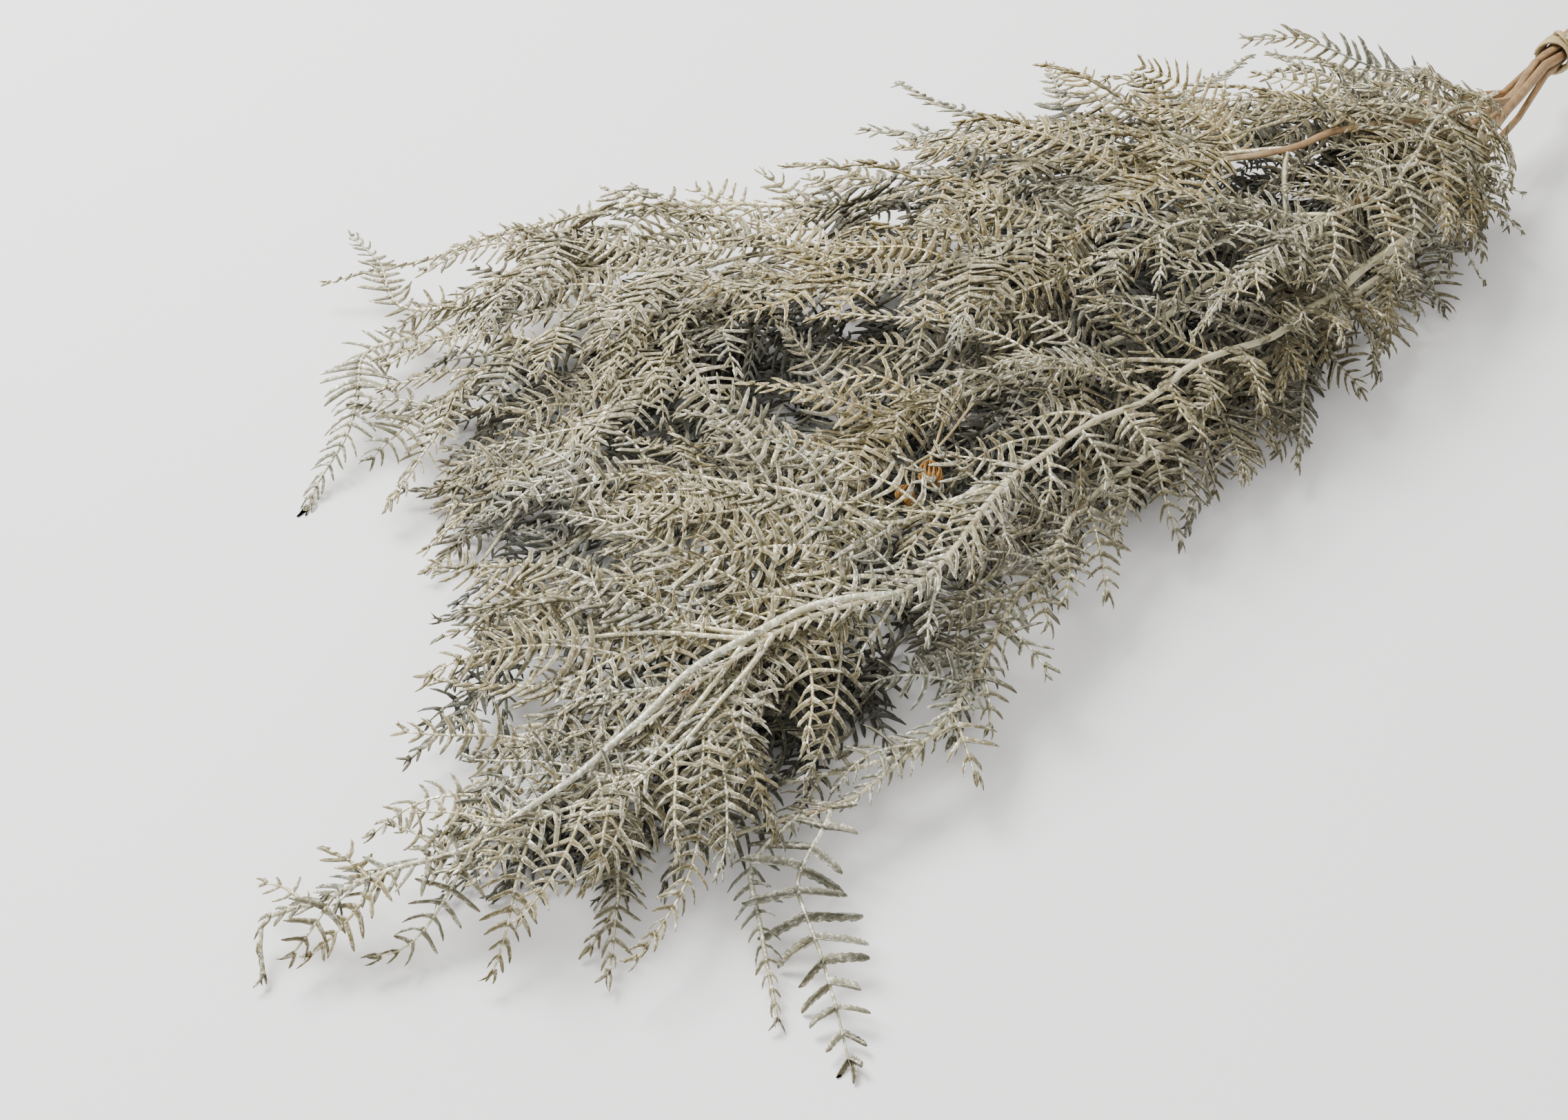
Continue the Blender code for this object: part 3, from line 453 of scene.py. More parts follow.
def smooth_route(points, step):
    """Points about a step apart in plan, on a Catmull-Rom curve through the given ones."""
    points = [Vector(p) for p in points]
    ends = [2 * points[0] - points[1], *points, 2 * points[-1] - points[-2]]
    made = []
    for a, b, c, d in zip(ends, ends[1:], ends[2:], ends[3:]):
        count = max(1, round((c - b).xy.length / step))
        for k in range(count):
            t = k / count
            square, cube = 2 * a - 5 * b + 4 * c - d, 3 * b - a - 3 * c + d
            made.append(0.5 * (2 * b + (c - a) * t + square * t**2 + cube * t**3))
    return [*made, points[-1].copy()]


def at_level(point):
    """A route's point (x, y, level) as a place in the pile."""
    return Vector((point.x, point.y, point.z * pile_height(point.x, point.y)))


def bundle_axis(share):
    """The bundle's centre and direction, from where the fronds part (share 0) to the cut ends (1)."""
    axis = smooth_route(BUNDLE_AXIS, BUNDLE_STEP)
    where = share * (len(axis) - 1)
    first = min(int(where), len(axis) - 2)
    return axis[first].lerp(axis[first + 1], where - first), (axis[first] - axis[first + 1]).normalized()


def bundle_point(share, place):
    """A stem's centre in the twisted bundle and the way out from the bundle's middle there."""
    centre, along = bundle_axis(share)
    angle = math.radians(place or 0) + BUNDLE_TWIST * share
    side = UP.cross(along).normalized()
    out = side * math.cos(angle) + along.cross(side) * math.sin(angle)
    return centre if place is None else centre + BUNDLE_RING_RADIUS * out, out


def wandered(point):
    """The place shifted a little, so that lines waver as dried stems do; the bundle stays as it is."""
    weight = smooth_step((point[0] - WANDER_START) / WANDER_ONSET)
    moved = Vector(point) + wave.noise_vector(Vector(point) / WANDER_LENGTH) * (WANDER * weight)
    return (moved.x, moved.y, max(moved.z, TABLE_CLEARANCE))


class Lines:
    """Polylines with values at their points, which Geometry Nodes turn into tubes and rows of leaflets."""

    VALUES = ("radius", "leaf", "lean", "tone", "warmth", "paleness", "shade", "bare")

    def __init__(self):
        self.points = []
        self.edges = []
        self.facing = []
        self.values = {name: [] for name in self.VALUES}

    def add(self, points, facing, **values):
        first = len(self.points)
        count = len(points)
        self.points += [wandered(p) for p in points]
        self.edges += [(first + k, first + k + 1) for k in range(count - 1)]
        self.facing += [tuple(f) for f in facing]
        for name in self.VALUES:
            value = values.get(name, 0.0)
            self.values[name] += value if isinstance(value, list) else [value] * count

    def carrier(self, name):
        """An object that holds the polylines as a mesh of edges."""
        mesh = bpy.data.meshes.new(name)
        mesh.from_pydata(self.points, self.edges, [])
        facing = mesh.attributes.new("facing", "FLOAT_VECTOR", "POINT")
        facing.data.foreach_set("vector", [c for f in self.facing for c in f])
        for key, numbers in self.values.items():
            mesh.attributes.new(key, "FLOAT", "POINT").data.foreach_set("value", numbers)
        made = bpy.data.objects.new(name, mesh)
        bpy.context.scene.collection.objects.link(made)
        return made


def shade_by_cover(groups):
    """Sets each point's shade by how far it lies below the highest line that passes near it."""
    tops = {}
    for lines in groups:
        for x, y, z in lines.points:
            cell = (round(x / COVER_CELL), round(y / COVER_CELL))
            tops[cell] = max(z, tops.get(cell, 0.0))
    for lines in groups:
        for k, (x, y, z) in enumerate(lines.points):
            i, j = round(x / COVER_CELL), round(y / COVER_CELL)
            near = [tops.get((i + a, j + b), 0.0) for a in (-1, 0, 1) for b in (-1, 0, 1)]
            inward = smooth_step((edge_at(NEAR_EDGE, x) - y) / SIDE_LIGHT_REACH)
            cover = smooth_step((max(near) - z - COVER_START) / COVER_DEPTH)
            lines.values["shade"][k] = cover * (SHADE_AT_EDGE + SHADE_INWARD * inward)


def shares_along(points):
    last = len(points) - 1
    return [k / last for k in range(last + 1)]


def facing_along(points, rolls=None):
    """The way up from the leaflets at each point: laid on the pile's slope and rolled about the line."""
    made = []
    rolls = rolls or [0.0] * len(points)
    last = len(points) - 1
    for k, (point, roll) in enumerate(zip(points, rolls)):
        ahead = (points[min(k + 1, last)] - points[max(k - 1, 0)]).normalized()
        side = UP.cross(ahead)
        side = side.normalized() if side.length > 0.001 else Vector((0, 1, 0))
        x, y = SLOPE_REACH * side.x, SLOPE_REACH * side.y
        rise = pile_height(point.x + x, point.y + y) - pile_height(point.x - x, point.y - y)
        turn = roll + math.atan2(rise, 2 * SLOPE_REACH)
        tilted = side * math.cos(turn) + ahead.cross(side) * math.sin(turn)
        made.append(ahead.cross(tilted).normalized())
    return made


def leaf_profile(share, leaf):
    """A leaflet's length by how far along its comb it grows: longest at a quarter, then tapering."""
    swell = LEAF_AT_FOOT + LEAF_SWELL * smooth_step(share / LEAF_FULL_AT)
    return leaf * swell * (1 - LEAF_TAPER * smooth_step((share - LEAF_TAPER_FROM) / LEAF_TAPER_OVER))


def comb_line(base, level, heading, side, length, style, draw):
    """A comb's rib: it leaves its spray, arches, bends towards the tips and settles at a level of its own."""
    steps = max(COMB_LEAST_STEPS, round(length / COMB_STEP))
    bend = -side * draw.uniform(*COMB_BEND)
    hook = draw.uniform(-1, 1) * style["curl"]
    arch = length * draw.uniform(*COMB_ARCH)
    lift = length * draw.uniform(*COMB_LIFT) * (1 + style["curl"])
    new_level = min(1.0, level + draw.uniform(*COMB_LEVEL))
    new_level += max(0.0, style["cover"] - level)
    if side > 0:
        new_level *= 1 - style["sink"]
    x, y = base.x, base.y
    start_rise = base.z - level * pile_height(x, y)
    points = []
    for k in range(steps + 1):
        s = k / steps
        if k:
            turned = heading + bend * s + hook * s**3
            x += length / steps * math.cos(turned)
            y += length / steps * math.sin(turned)
        now = level + (new_level - level) * smooth_step(s)
        roof = pile_height(x, y)
        z = now * roof + start_rise * (1 - s) + arch * math.sin(math.pi * s) + lift * s**2
        z = min(z, ROOF_SHARE * roof)
        points.append(Vector((x, y, max(z, LINE_CLEARANCE))))
        outside = not inside_pile(x, y, COMB_MARGIN)
        if k >= COMB_LEAST_STEPS and (outside or (z > CLEARING_LEVEL * roof and in_clearing(x, y))):
            break
    return points


def add_comb(lines, points, roll, leaf, tone, frond):
    """A comb's rib with what its leaflets go by."""
    shares = shares_along(points)
    lines.add(
        points,
        facing_along(points, [roll * (COMB_ROLL_AT_FOOT + COMB_ROLL_GAIN * s) for s in shares]),
        radius=[COMB_RADIUS + (COMB_TIP_RADIUS - COMB_RADIUS) * s for s in shares],
        leaf=[leaf_profile(s, leaf) for s in shares],
        lean=[TIP_LEAN * s**3 for s in shares],
        tone=tone,
        warmth=frond["warmth"],
        paleness=frond["paleness"],
    )


def add_combs_along(lines, name, style, frond, spacing, relief):
    """The combs on both sides of a spray."""
    places = smooth_route(style["route"], COMB_STEP)
    run = [0.0]
    for a, b in zip(places, places[1:]):
        run.append(run[-1] + (b - a).xy.length)
    whole = run[-1]
    count = int((whole - style["bare"]) / spacing)
    for number in range(count):
        for side, reach in ((1, style["near"]), (-1, style["far"])):
            draw = random.Random(f"{name} {number} {side}")
            where = style["bare"] + (number + 0.5 + COMB_STAGGER * side + draw.uniform(*COMB_SHIFT)) * spacing
            if where > COMB_LAST_SHARE * whole:
                continue
            k = next(i for i in range(1, len(run)) if run[i] >= where)
            if places[k].z > CLEARING_LEVEL and in_clearing(places[k].x, places[k].y):
                continue
            ahead = places[k] - places[k - 1]
            share = where / whole
            length = reach * (1 - COMB_SHORTENING * share**2) * draw.uniform(*COMB_LENGTH)
            heading = math.atan2(ahead.y, ahead.x) + side * math.radians(draw.uniform(*COMB_ANGLE))
            points = comb_line(at_level(places[k]), places[k].z, heading, side, length, style, draw)
            if len(points) >= COMB_LEAST_STEPS:
                leaf = style["leaf"] * draw.uniform(*LEAF_SIZES)
                leaf *= min(1.0, LEAF_ON_SHORTEST + length / LEAF_GROWTH_LENGTH)
                add_comb(lines, points, relief * draw.gauss(0, COMB_ROLL), leaf, draw.random(), frond)


def side_sprays(name, style, spacing):
    """Lesser sprays that branch from a spray on both sides, swing round to lie along it, and bear combs."""
    places = smooth_route(style["route"], COMB_STEP)
    every = max(1, round(spacing / COMB_STEP))
    for number, k in enumerate(range(every // 2, len(places) - every // 2, every)):
        for side in (1, -1):
            draw = random.Random(f"side spray {name} {number} {side}")
            ahead = places[k] - places[k - 1]
            heading = math.atan2(ahead.y, ahead.x) + side * math.radians(draw.uniform(*SIDE_ANGLE))
            length = draw.uniform(*SIDE_LENGTH)
            level = max(places[k].z, style["cover"]) + draw.uniform(*SIDE_LEVEL)
            level = min(SIDE_HIGHEST, max(SIDE_LOWEST, level))
            place = places[k].copy()
            route = [tuple(place)]
            for leg in range(SIDE_LEGS):
                turned = heading - side * math.radians(draw.uniform(*SIDE_TURN)) * leg
                place = place + Vector((math.cos(turned), math.sin(turned), 0)) * (length / SIDE_LEGS)
                place.z = places[k].z + (level - places[k].z) * min(1.0, (leg + 1) / 2)
                if not inside_pile(place.x, place.y, SIDE_MARGIN):
                    break
                route.append(tuple(place))
            if len(route) > 2:
                reach = draw.uniform(*SIDE_COMBS)
                leaf = style["leaf"] * draw.uniform(*SIDE_LEAF)
                yield spray(route, reach, reach, leaf=leaf, bare=SIDE_BARE)


def rachis_profile(share, leaf):
    """A leaflet's length by how far along its spray it grows, on a rachis that bears combs as well."""
    grown = leaf * smooth_step((share - RACHIS_LEAVES_FROM) / RACHIS_LEAVES_ONSET)
    return grown * (1 - RACHIS_SHRINK * smooth_step((share - RACHIS_SHRINK_FROM) / RACHIS_SHRINK_OVER))


def add_spray(lines, name, style, frond):
    """The spray's own rachis, which bears leaflets near its tip, or all along where it bears no combs."""
    places = smooth_route(style["route"], COMB_STEP)
    shares = shares_along(places)
    draw = random.Random(name)
    profile = rachis_profile if style["near"] else leaf_profile
    leaves = [profile(s, style["leaf"]) for s in shares]
    points = [at_level(p) for p in places]
    roll = draw.gauss(0, SPRAY_ROLL)
    lines.add(
        points,
        facing_along(points, [roll] * len(points)),
        radius=[style["girth"] * (SPRAY_RADIUS + (SPRAY_TIP_RADIUS - SPRAY_RADIUS) * s) for s in shares],
        leaf=leaves,
        lean=[TIP_LEAN * s**3 for s in shares],
        tone=draw.random(),
        warmth=frond["warmth"],
        paleness=frond["paleness"],
        bare=[RACHIS_BARE * (1 - s) for s in shares],
    )


def stem_line(frond):
    """The stem's points, facing, radii and bareness, from its cut end through the bundle to its tip."""
    points, facing = [], []
    for k in range(BUNDLE_STEPS + 1):
        point, out = bundle_point(1 - k / BUNDLE_STEPS, frond["place"])
        points.append(point)
        facing.append(out)
    bare = [1.0] * len(points)
    radii = [STEM_RADIUS] * len(points)
    foliage = [at_level(p) for p in smooth_route(frond["sprays"][0]["route"], STEM_STEP)]
    last = len(foliage) - 1
    turned = facing_along(foliage)
    start = facing[-1]
    for k, point in enumerate(foliage):
        points.append(point)
        facing.append(start.lerp(turned[k], smooth_step(k / TURN_STEPS)).normalized())
        bare.append(1.0 - BARE_LOSS * smooth_step((point.x - frond["bare_until"]) / BARE_FADE + 0.5))
        radii.append(STEM_RADIUS + (STEM_TIP_RADIUS - STEM_RADIUS) * (k / last) ** STEM_TAPER_POWER)
    return points, facing, radii, bare


# Node trees.


def place_node(tree, kind, sockets=None, **settings):
    """Adds a node, sets it up, and joins or fills its inputs, which are given by name or position."""
    node = tree.nodes.new(kind)
    for key, value in settings.items():
        setattr(node, key, value)
    for where, value in (sockets or {}).items():
        if isinstance(value, bpy.types.NodeSocket):
            tree.links.new(value, node.inputs[where])
        else:
            node.inputs[where].default_value = value
    return node


def output_of(tree, kind, sockets=None, **settings):
    """Adds a node in the same way and gives its first output."""
    return place_node(tree, kind, sockets, **settings).outputs[0]


def calc(tree, operation, *values, clamped=False):
    sockets = dict(enumerate(values))
    return output_of(tree, "ShaderNodeMath", sockets, operation=operation, use_clamp=clamped)


def times(tree, a, b):
    return calc(tree, "MULTIPLY", a, b)


def plus(tree, a, b):
    """The sum, kept between 0 and 1."""
    return calc(tree, "ADD", a, b, clamped=True)


def vector_calc(tree, operation, a, b):
    second = "Scale" if operation == "SCALE" else 1
    return output_of(tree, "ShaderNodeVectorMath", {0: a, second: b}, operation=operation)


def combined(tree, x, y, z):
    return output_of(tree, "ShaderNodeCombineXYZ", {"X": x, "Y": y, "Z": z})


def position(tree):
    """The outputs for the X, Y and Z of each point's place."""
    place = tree.nodes.new("GeometryNodeInputPosition").outputs[0]
    return place_node(tree, "ShaderNodeSeparateXYZ", {0: place}).outputs


def value_of(tree, name, data_type="FLOAT"):
    """A named value stored at the points."""
    return output_of(tree, "GeometryNodeInputNamedAttribute", {"Name": name}, data_type=data_type)


def stored(tree, geometry, name, value):
    """The geometry with a value stored at its points."""
    sockets = {"Geometry": geometry, "Name": name, "Value": value}
    return output_of(tree, "GeometryNodeStoreNamedAttribute", sockets)


def ring(tree, count):
    return output_of(tree, "GeometryNodeCurvePrimitiveCircle", {"Resolution": count, "Radius": 1.0})


def tubes_along(tree, curves, profile):
    """Closed tubes along the curves, as thick as their stored radius."""
    radius = value_of(tree, "radius")
    sockets = {"Curve": curves, "Profile Curve": profile, "Scale": radius, "Fill Caps": True}
    return output_of(tree, "GeometryNodeCurveToMesh", sockets)


def random_between(tree, low, high, seed, kind="FLOAT"):
    slot = {"FLOAT_VECTOR": 0, "FLOAT": 1, "INT": 2}[kind]
    sockets = {2 * slot: low, 2 * slot + 1: high, "Seed": seed}
    return place_node(tree, "FunctionNodeRandomValue", sockets, data_type=kind).outputs[slot]


def new_tree(name, inputs):
    """A geometry tree with a geometry input and output and the named inputs."""
    tree = bpy.data.node_groups.new(name, "GeometryNodeTree")
    tree.is_modifier = True
    tree.interface.new_socket("Geometry", in_out="INPUT", socket_type="NodeSocketGeometry")
    tree.interface.new_socket("Geometry", in_out="OUTPUT", socket_type="NodeSocketGeometry")
    for label, kind in inputs.items():
        tree.interface.new_socket(label, in_out="INPUT", socket_type="NodeSocket" + kind)
    return tree, tree.nodes.new("NodeGroupInput").outputs, tree.nodes.new("NodeGroupOutput")


def close_tree(tree, geometry, material, out):
    """Ends a tree: real meshes, nothing under the table, and the material."""
    whole = output_of(tree, "GeometryNodeRealizeInstances", {"Geometry": geometry})
    smooth = output_of(tree, "GeometryNodeSetShadeSmooth", {"Geometry": whole})
    place = position(tree)
    above = combined(tree, place["X"], place["Y"], calc(tree, "MAXIMUM", place["Z"], TABLE_CLEARANCE))
    kept = output_of(tree, "GeometryNodeSetPosition", {"Geometry": smooth, "Position": above})
    last = output_of(tree, "GeometryNodeSetMaterial", {"Geometry": kept, "Material": material})
    tree.links.new(last, out.inputs[0])


# How leaflets stray when disorder is 1, as turns about three axes, how their sizes differ, how their width
# goes by their length, and how far apart the seeds of the rows are.
LEAFLET_STRAY = (1.0, 1.6, 0.45)
LEAFLET_SIZES = (0.78, 1.15)
WIDTH_BY_LENGTH = 0.5
WIDTH_AT_LEAST = 0.0042
SEED_STEP = 10.0
RIB_SIDES = 4


def leaflet_turns(tree, given, facing, secondary, lean, seed):
    """How the leaflets are turned: up from their rib's plane, outwards, then leaned, drooped and strewn."""
    turned = output_of(
        tree,
        "FunctionNodeAxesToRotation",
        {"Primary Axis": facing, "Secondary Axis": secondary},
        primary_axis="Z",
        secondary_axis="Y",
    )
    aim = combined(tree, times(tree, given["Droop"], -1.0), 0.0, lean)
    stray = random_between(tree, [-a for a in LEAFLET_STRAY], LEAFLET_STRAY, seed, "FLOAT_VECTOR")
    strewn = vector_calc(tree, "SCALE", stray, given["Disorder"])
    tipped = output_of(tree, "FunctionNodeEulerToRotation", {0: vector_calc(tree, "ADD", aim, strewn)})
    sockets = {"Rotation": turned, "Rotate By": tipped}
    return output_of(tree, "FunctionNodeRotateRotation", sockets, rotation_space="LOCAL")


def leafed_ribs_tree(variants):
    """Ribs as thin tubes, with a leaflet on each side at every spacing and one at the end."""
    tree, given, out = new_tree(
        "leafed ribs",
        {
            "Left leaflets": "Collection",
            "Right leaflets": "Collection",
            "Leaflet spacing": "Float",
            "Forward lean": "Float",
            "Droop": "Float",
            "Disorder": "Float",
            "Rib sides": "Int",
            "Seed": "Int",
            "Material": "Material",
        },
    )
    ribs = output_of(tree, "GeometryNodeMeshToCurve", {0: given["Geometry"]})
    marked = stored(tree, tubes_along(tree, ribs, ring(tree, given["Rib sides"])), "rib", 1.0)
    sockets = {"Curve": ribs, "Length": given["Leaflet spacing"]}
    spots = output_of(tree, "GeometryNodeResampleCurve", sockets, mode="LENGTH")
    facing = value_of(tree, "facing", "FLOAT_VECTOR")
    leaf = value_of(tree, "leaf")
    forward = calc(tree, "ADD", given["Forward lean"], value_of(tree, "lean"))
    ahead = tree.nodes.new("GeometryNodeInputTangent").outputs[0]
    across = vector_calc(tree, "CROSS_PRODUCT", facing, ahead)
    grown = calc(tree, "GREATER_THAN", leaf, SHORTEST_LEAFLET)
    ends = output_of(tree, "GeometryNodeCurveEndpointSelection", {"Start Size": 0, "End Size": 1})
    at_end = times(tree, grown, ends)
    joined = place_node(tree, "GeometryNodeJoinGeometry")
    tree.links.new(marked, joined.inputs[0])
    rows = (("Left leaflets", 1.0), ("Right leaflets", -1.0), ("Left leaflets", 0.0))
    for number, (label, sign) in enumerate(rows):
        seed = calc(tree, "ADD", given["Seed"], SEED_STEP * number)
        secondary = vector_calc(tree, "SCALE", across, sign) if sign else ahead
        size = times(tree, leaf, random_between(tree, *LEAFLET_SIZES, seed))
        width = calc(tree, "MULTIPLY_ADD", size, WIDTH_BY_LENGTH, WIDTH_AT_LEAST)
        shapes = {"Collection": given[label], "Separate Children": True, "Reset Children": True}
        sockets = {
            "Points": spots,
            "Selection": grown if sign else at_end,
            "Instance": output_of(tree, "GeometryNodeCollectionInfo", shapes),
            "Pick Instance": True,
            "Instance Index": random_between(tree, 0, variants - 1, seed, "INT"),
            "Rotation": leaflet_turns(tree, given, facing, secondary, times(tree, forward, -sign), seed),
            "Scale": combined(tree, width, size, width),
        }
        tree.links.new(output_of(tree, "GeometryNodeInstanceOnPoints", sockets), joined.inputs[0])
    close_tree(tree, joined.outputs[0], given["Material"], out)
    return tree


def stems_tree():
    """Flattened, grooved stems along lines that say which way they face."""
    tree, given, out = new_tree(
        "grooved stems",
        {
            "Section points": "Int",
            "Flatness": "Float",
            "Groove depth": "Float",
            "Grooves": "Float",
            "Material": "Material",
        },
    )
    lines = output_of(tree, "GeometryNodeMeshToCurve", {0: given["Geometry"]})
    sockets = {"Curve": lines, "Normal": value_of(tree, "facing", "FLOAT_VECTOR")}
    turned = output_of(tree, "GeometryNodeSetCurveNormal", sockets, mode="FREE")
    run = tree.nodes.new("GeometryNodeSplineParameter").outputs
    measured = stored(tree, turned, "along", run["Length"])
    angle = times(tree, run["Factor"], 2 * math.pi)
    around = stored(tree, ring(tree, given["Section points"]), "around", angle)
    ripple = calc(tree, "COSINE", times(tree, angle, given["Grooves"]))
    depth = calc(tree, "MULTIPLY_ADD", ripple, given["Groove depth"], 1.0)
    spot = position(tree)
    flat = times(tree, spot["X"], given["Flatness"])
    wide = calc(tree, "DIVIDE", spot["Y"], given["Flatness"])
    ridged = vector_calc(tree, "SCALE", combined(tree, flat, wide, 0.0), depth)
    profile = output_of(tree, "GeometryNodeSetPosition", {"Geometry": around, "Position": ridged})
    close_tree(tree, tubes_along(tree, measured, profile), given["Material"], out)
    return tree


def grow(lines, tree, values, name):
    """Runs a tree on the lines and returns the result as a plain mesh object."""
    carrier = lines.carrier(name + "_lines")
    modifier = carrier.modifiers.new("grow", "NODES")
    modifier.node_group = tree
    sockets = {s.name: s.identifier for s in tree.interface.items_tree if s.in_out == "INPUT"}
    for label, value in values.items():
        modifier[sockets[label]] = value
    bpy.context.view_layer.update()
    graph = bpy.context.evaluated_depsgraph_get()
    mesh = bpy.data.meshes.new_from_object(
        carrier.evaluated_get(graph), preserve_all_data_layers=True, depsgraph=graph
    )
    bpy.data.objects.remove(carrier)
    mesh.name = name
    made = bpy.data.objects.new(name, mesh)
    bpy.context.scene.collection.objects.link(made)
    return made


# Leaflet shapes, one metre long, from their foot at the origin along +Y, with +Z up.

LEAFLET_STATIONS = (0.0, 0.38, 0.80, 1.0)
LEAFLET_WIDTHS = (1.45, 1.0, 0.88, 0.28)
COARSE_STATIONS = (0.0, 0.10, 0.20, 0.30, 0.40, 0.50, 0.60, 0.70, 0.80, 0.90, 1.0)
COARSE_WIDTHS = (1.0, 0.85, 1.05, 0.80, 1.0, 0.78, 0.95, 0.74, 0.86, 0.66, 0.25)
KEEL_SHARE = 0.35
KEEL_LEAST = 0.01

# The random ranges of their half width, gutter, bend, droop and twist.
LEAFLET_HALF_WIDTH = (0.85, 1.2)
LEAFLET_GUTTER = (0.6, 1.6)
LEAFLET_BEND = (0.16, 0.50)
LEAFLET_DROOP = (-0.16, 0.12)
LEAFLET_TWIST = (-0.6, 0.6)


def leaflet_mesh(name, stations, widths, half_width, gutter, bend, droop, twist, mirror):
    """A narrow leaflet whose margins curl up, as a closed strip with a ridge beneath."""
    points, edge_values, faces = [], [], []
    for s, share in zip(stations, widths):
        half = half_width * share
        rise = gutter * half
        keel = KEEL_SHARE * half + KEEL_LEAST
        turn = twist * s
        for x, z in ((-half, rise), (0.0, 0.0), (half, rise), (0.0, -keel)):
            along = x * math.cos(turn) - z * math.sin(turn) + bend * s**2
            up = x * math.sin(turn) + z * math.cos(turn) + droop * s**2
            points.append((-along if mirror else along, s, up))
            edge_values.append(1.0 if x else 0.0)
    for k in range(len(stations) - 1):
        for side in range(4):
            a, b = 4 * k + side, 4 * k + (side + 1) % 4
            faces.append((a, b, b + 4, a + 4))
    last = 4 * (len(stations) - 1)
    faces.append((3, 2, 1, 0))
    faces.append((last, last + 1, last + 2, last + 3))
    if mirror:
        faces = [tuple(reversed(f)) for f in faces]
    mesh = bpy.data.meshes.new(name)
    mesh.from_pydata(points, [], faces)
    mesh.attributes.new("edge", "FLOAT", "POINT").data.foreach_set("value", edge_values)
    return mesh


def leaflet_collection(name, count, coarse, mirror, half_width):
    """Leaflet shapes that differ in curl, bend, droop and twist, to be picked at random."""
    group = bpy.data.collections.new(name)
    stations, widths = (COARSE_STATIONS, COARSE_WIDTHS) if coarse else (LEAFLET_STATIONS, LEAFLET_WIDTHS)
    for number in range(count):
        draw = random.Random(f"leaflet {coarse} {number}")
        mesh = leaflet_mesh(
            f"{name}_{number}",
            stations,
            widths,
            half_width * draw.uniform(*LEAFLET_HALF_WIDTH) * (COARSE_WIDTH if coarse else 1.0),
            draw.uniform(*LEAFLET_GUTTER),
            draw.uniform(*LEAFLET_BEND) * (COARSE_BEND if coarse else 1.0),
            draw.uniform(*LEAFLET_DROOP),
            draw.uniform(*LEAFLET_TWIST),
            mirror,
        )
        group.objects.link(bpy.data.objects.new(mesh.name, mesh))
    return group


# Materials. Noise is given as scale, detail and roughness, a stretch as the values that give 0 and 1, a bump
# as strength and distance, and a finish as how dark the darker fibres are and how fine the streaks.

PATCHES = (24.0, 2.0, 0.55)
MOTTLE = (380.0, 4.0, 0.65)
WRINKLES = (1100.0, 3.0, 0.7)
SPECKS = (760.0, 3.0, 0.75)
FIBRES = (5.0, 5.0, 0.7)
BLOTCHES = (160.0, 3.0, 0.55)
PATCH_STRETCH = (0.38, 0.62)
MOTTLE_STRETCH = (0.42, 0.66)
SPECK_STRETCH = (0.52, 0.58)
FIBRE_STRETCH = (0.30, 0.70)
BLOTCH_STRETCH = (0.20, 0.60)
WORN_STRETCH = (0.25, 0.50)
WRINKLE_BUMP = (0.9, 0.0005)
FIBRE_BUMP = (0.5, 0.0003)
STEM_STREAKS = 60.0
RAFFIA_FINISH = (0.45, 40.0)
STRAW_FINISH = (0.5, 60.0)
SEED_FINISH = (0.4, 200.0)
EDGE_POWER = 2.0
GOLD_IN_PATCHES = 0.7
# How far the painted shade in the depths turns the leaf to the deep colour.
DEEP_SHADE_SHARE = 0.95
PAINT_SPREAD = 0.22
# Paint on the leaflet margins, brighter there as a painted highlight where they curl up.
PAINT_AND_HIGHLIGHT_ON_EDGES = 0.80
PAINT_ON_RIBS = 0.80
# The share of paint left in the depths, where its fading is partly painted shade.
PAINT_IN_SHADED_DEPTHS = 0.15
PAINT_BY_PALENESS = 0.9
PAINT_AT_LEAST = 0.38
PAINT_LUCK = (-0.30, 0.25)
LUCK_BY_TONE = 7.3
PAINT_METAL = 0.55
FLECK_METAL = 0.15
LEAF_ROUGHNESS = (0.60, 0.24)
FIBRE_ROUGHNESS = 0.62
FLOOR_ROUGHNESS = 0.85


def new_material(name):
    material = bpy.data.materials.new(name)
    material.use_nodes = True
    tree = material.node_tree
    return material, tree, tree.nodes["Principled BSDF"].inputs


def attribute(tree, name):
    return place_node(tree, "ShaderNodeAttribute", attribute_name=name).outputs["Fac"]


def noise(tree, vector, kind):
    scale, detail, roughness = kind
    sockets = {"Vector": vector, "Scale": scale, "Detail": detail, "Roughness": roughness}
    return place_node(tree, "ShaderNodeTexNoise", sockets).outputs["Fac"]


def ramp(tree, value, low, high):
    """The value stretched so that low gives 0 and high gives 1."""
    return output_of(tree, "ShaderNodeMapRange", {"Value": value, "From Min": low, "From Max": high})


def spanned(tree, value, low, high):
    """The value, from 0 to 1, spread so that it runs from low to high."""
    return output_of(tree, "ShaderNodeMapRange", {"Value": value, "To Min": low, "To Max": high})


def blend_colour(tree, share, a, b):
    return place_node(tree, "ShaderNodeMix", {0: share, 6: a, 7: b}, data_type="RGBA").outputs[2]


def opaque(colour, share=1.0):
    """The colour, darkened to a share of itself, with full alpha."""
    return (*(share * c for c in colour), 1.0)


def roughen(tree, surface, bump, height):
    sockets = {"Strength": bump[0], "Distance": bump[1], "Height": height}
    tree.links.new(output_of(tree, "ShaderNodeBump", sockets), surface["Normal"])


def paint_reach(tree, tone, paleness, shade):
    """How well the paint took on a comb, by its frond and by luck, and how far it fades in the depths, partly
    paint that missed them and partly painted shade.
    """
    luck = spanned(tree, calc(tree, "FRACT", times(tree, tone, LUCK_BY_TONE)), *PAINT_LUCK)
    reached = plus(tree, plus(tree, times(tree, paleness, PAINT_BY_PALENESS), PAINT_AT_LEAST), luck)
    return reached, spanned(tree, shade, 1.0, PAINT_IN_SHADED_DEPTHS)


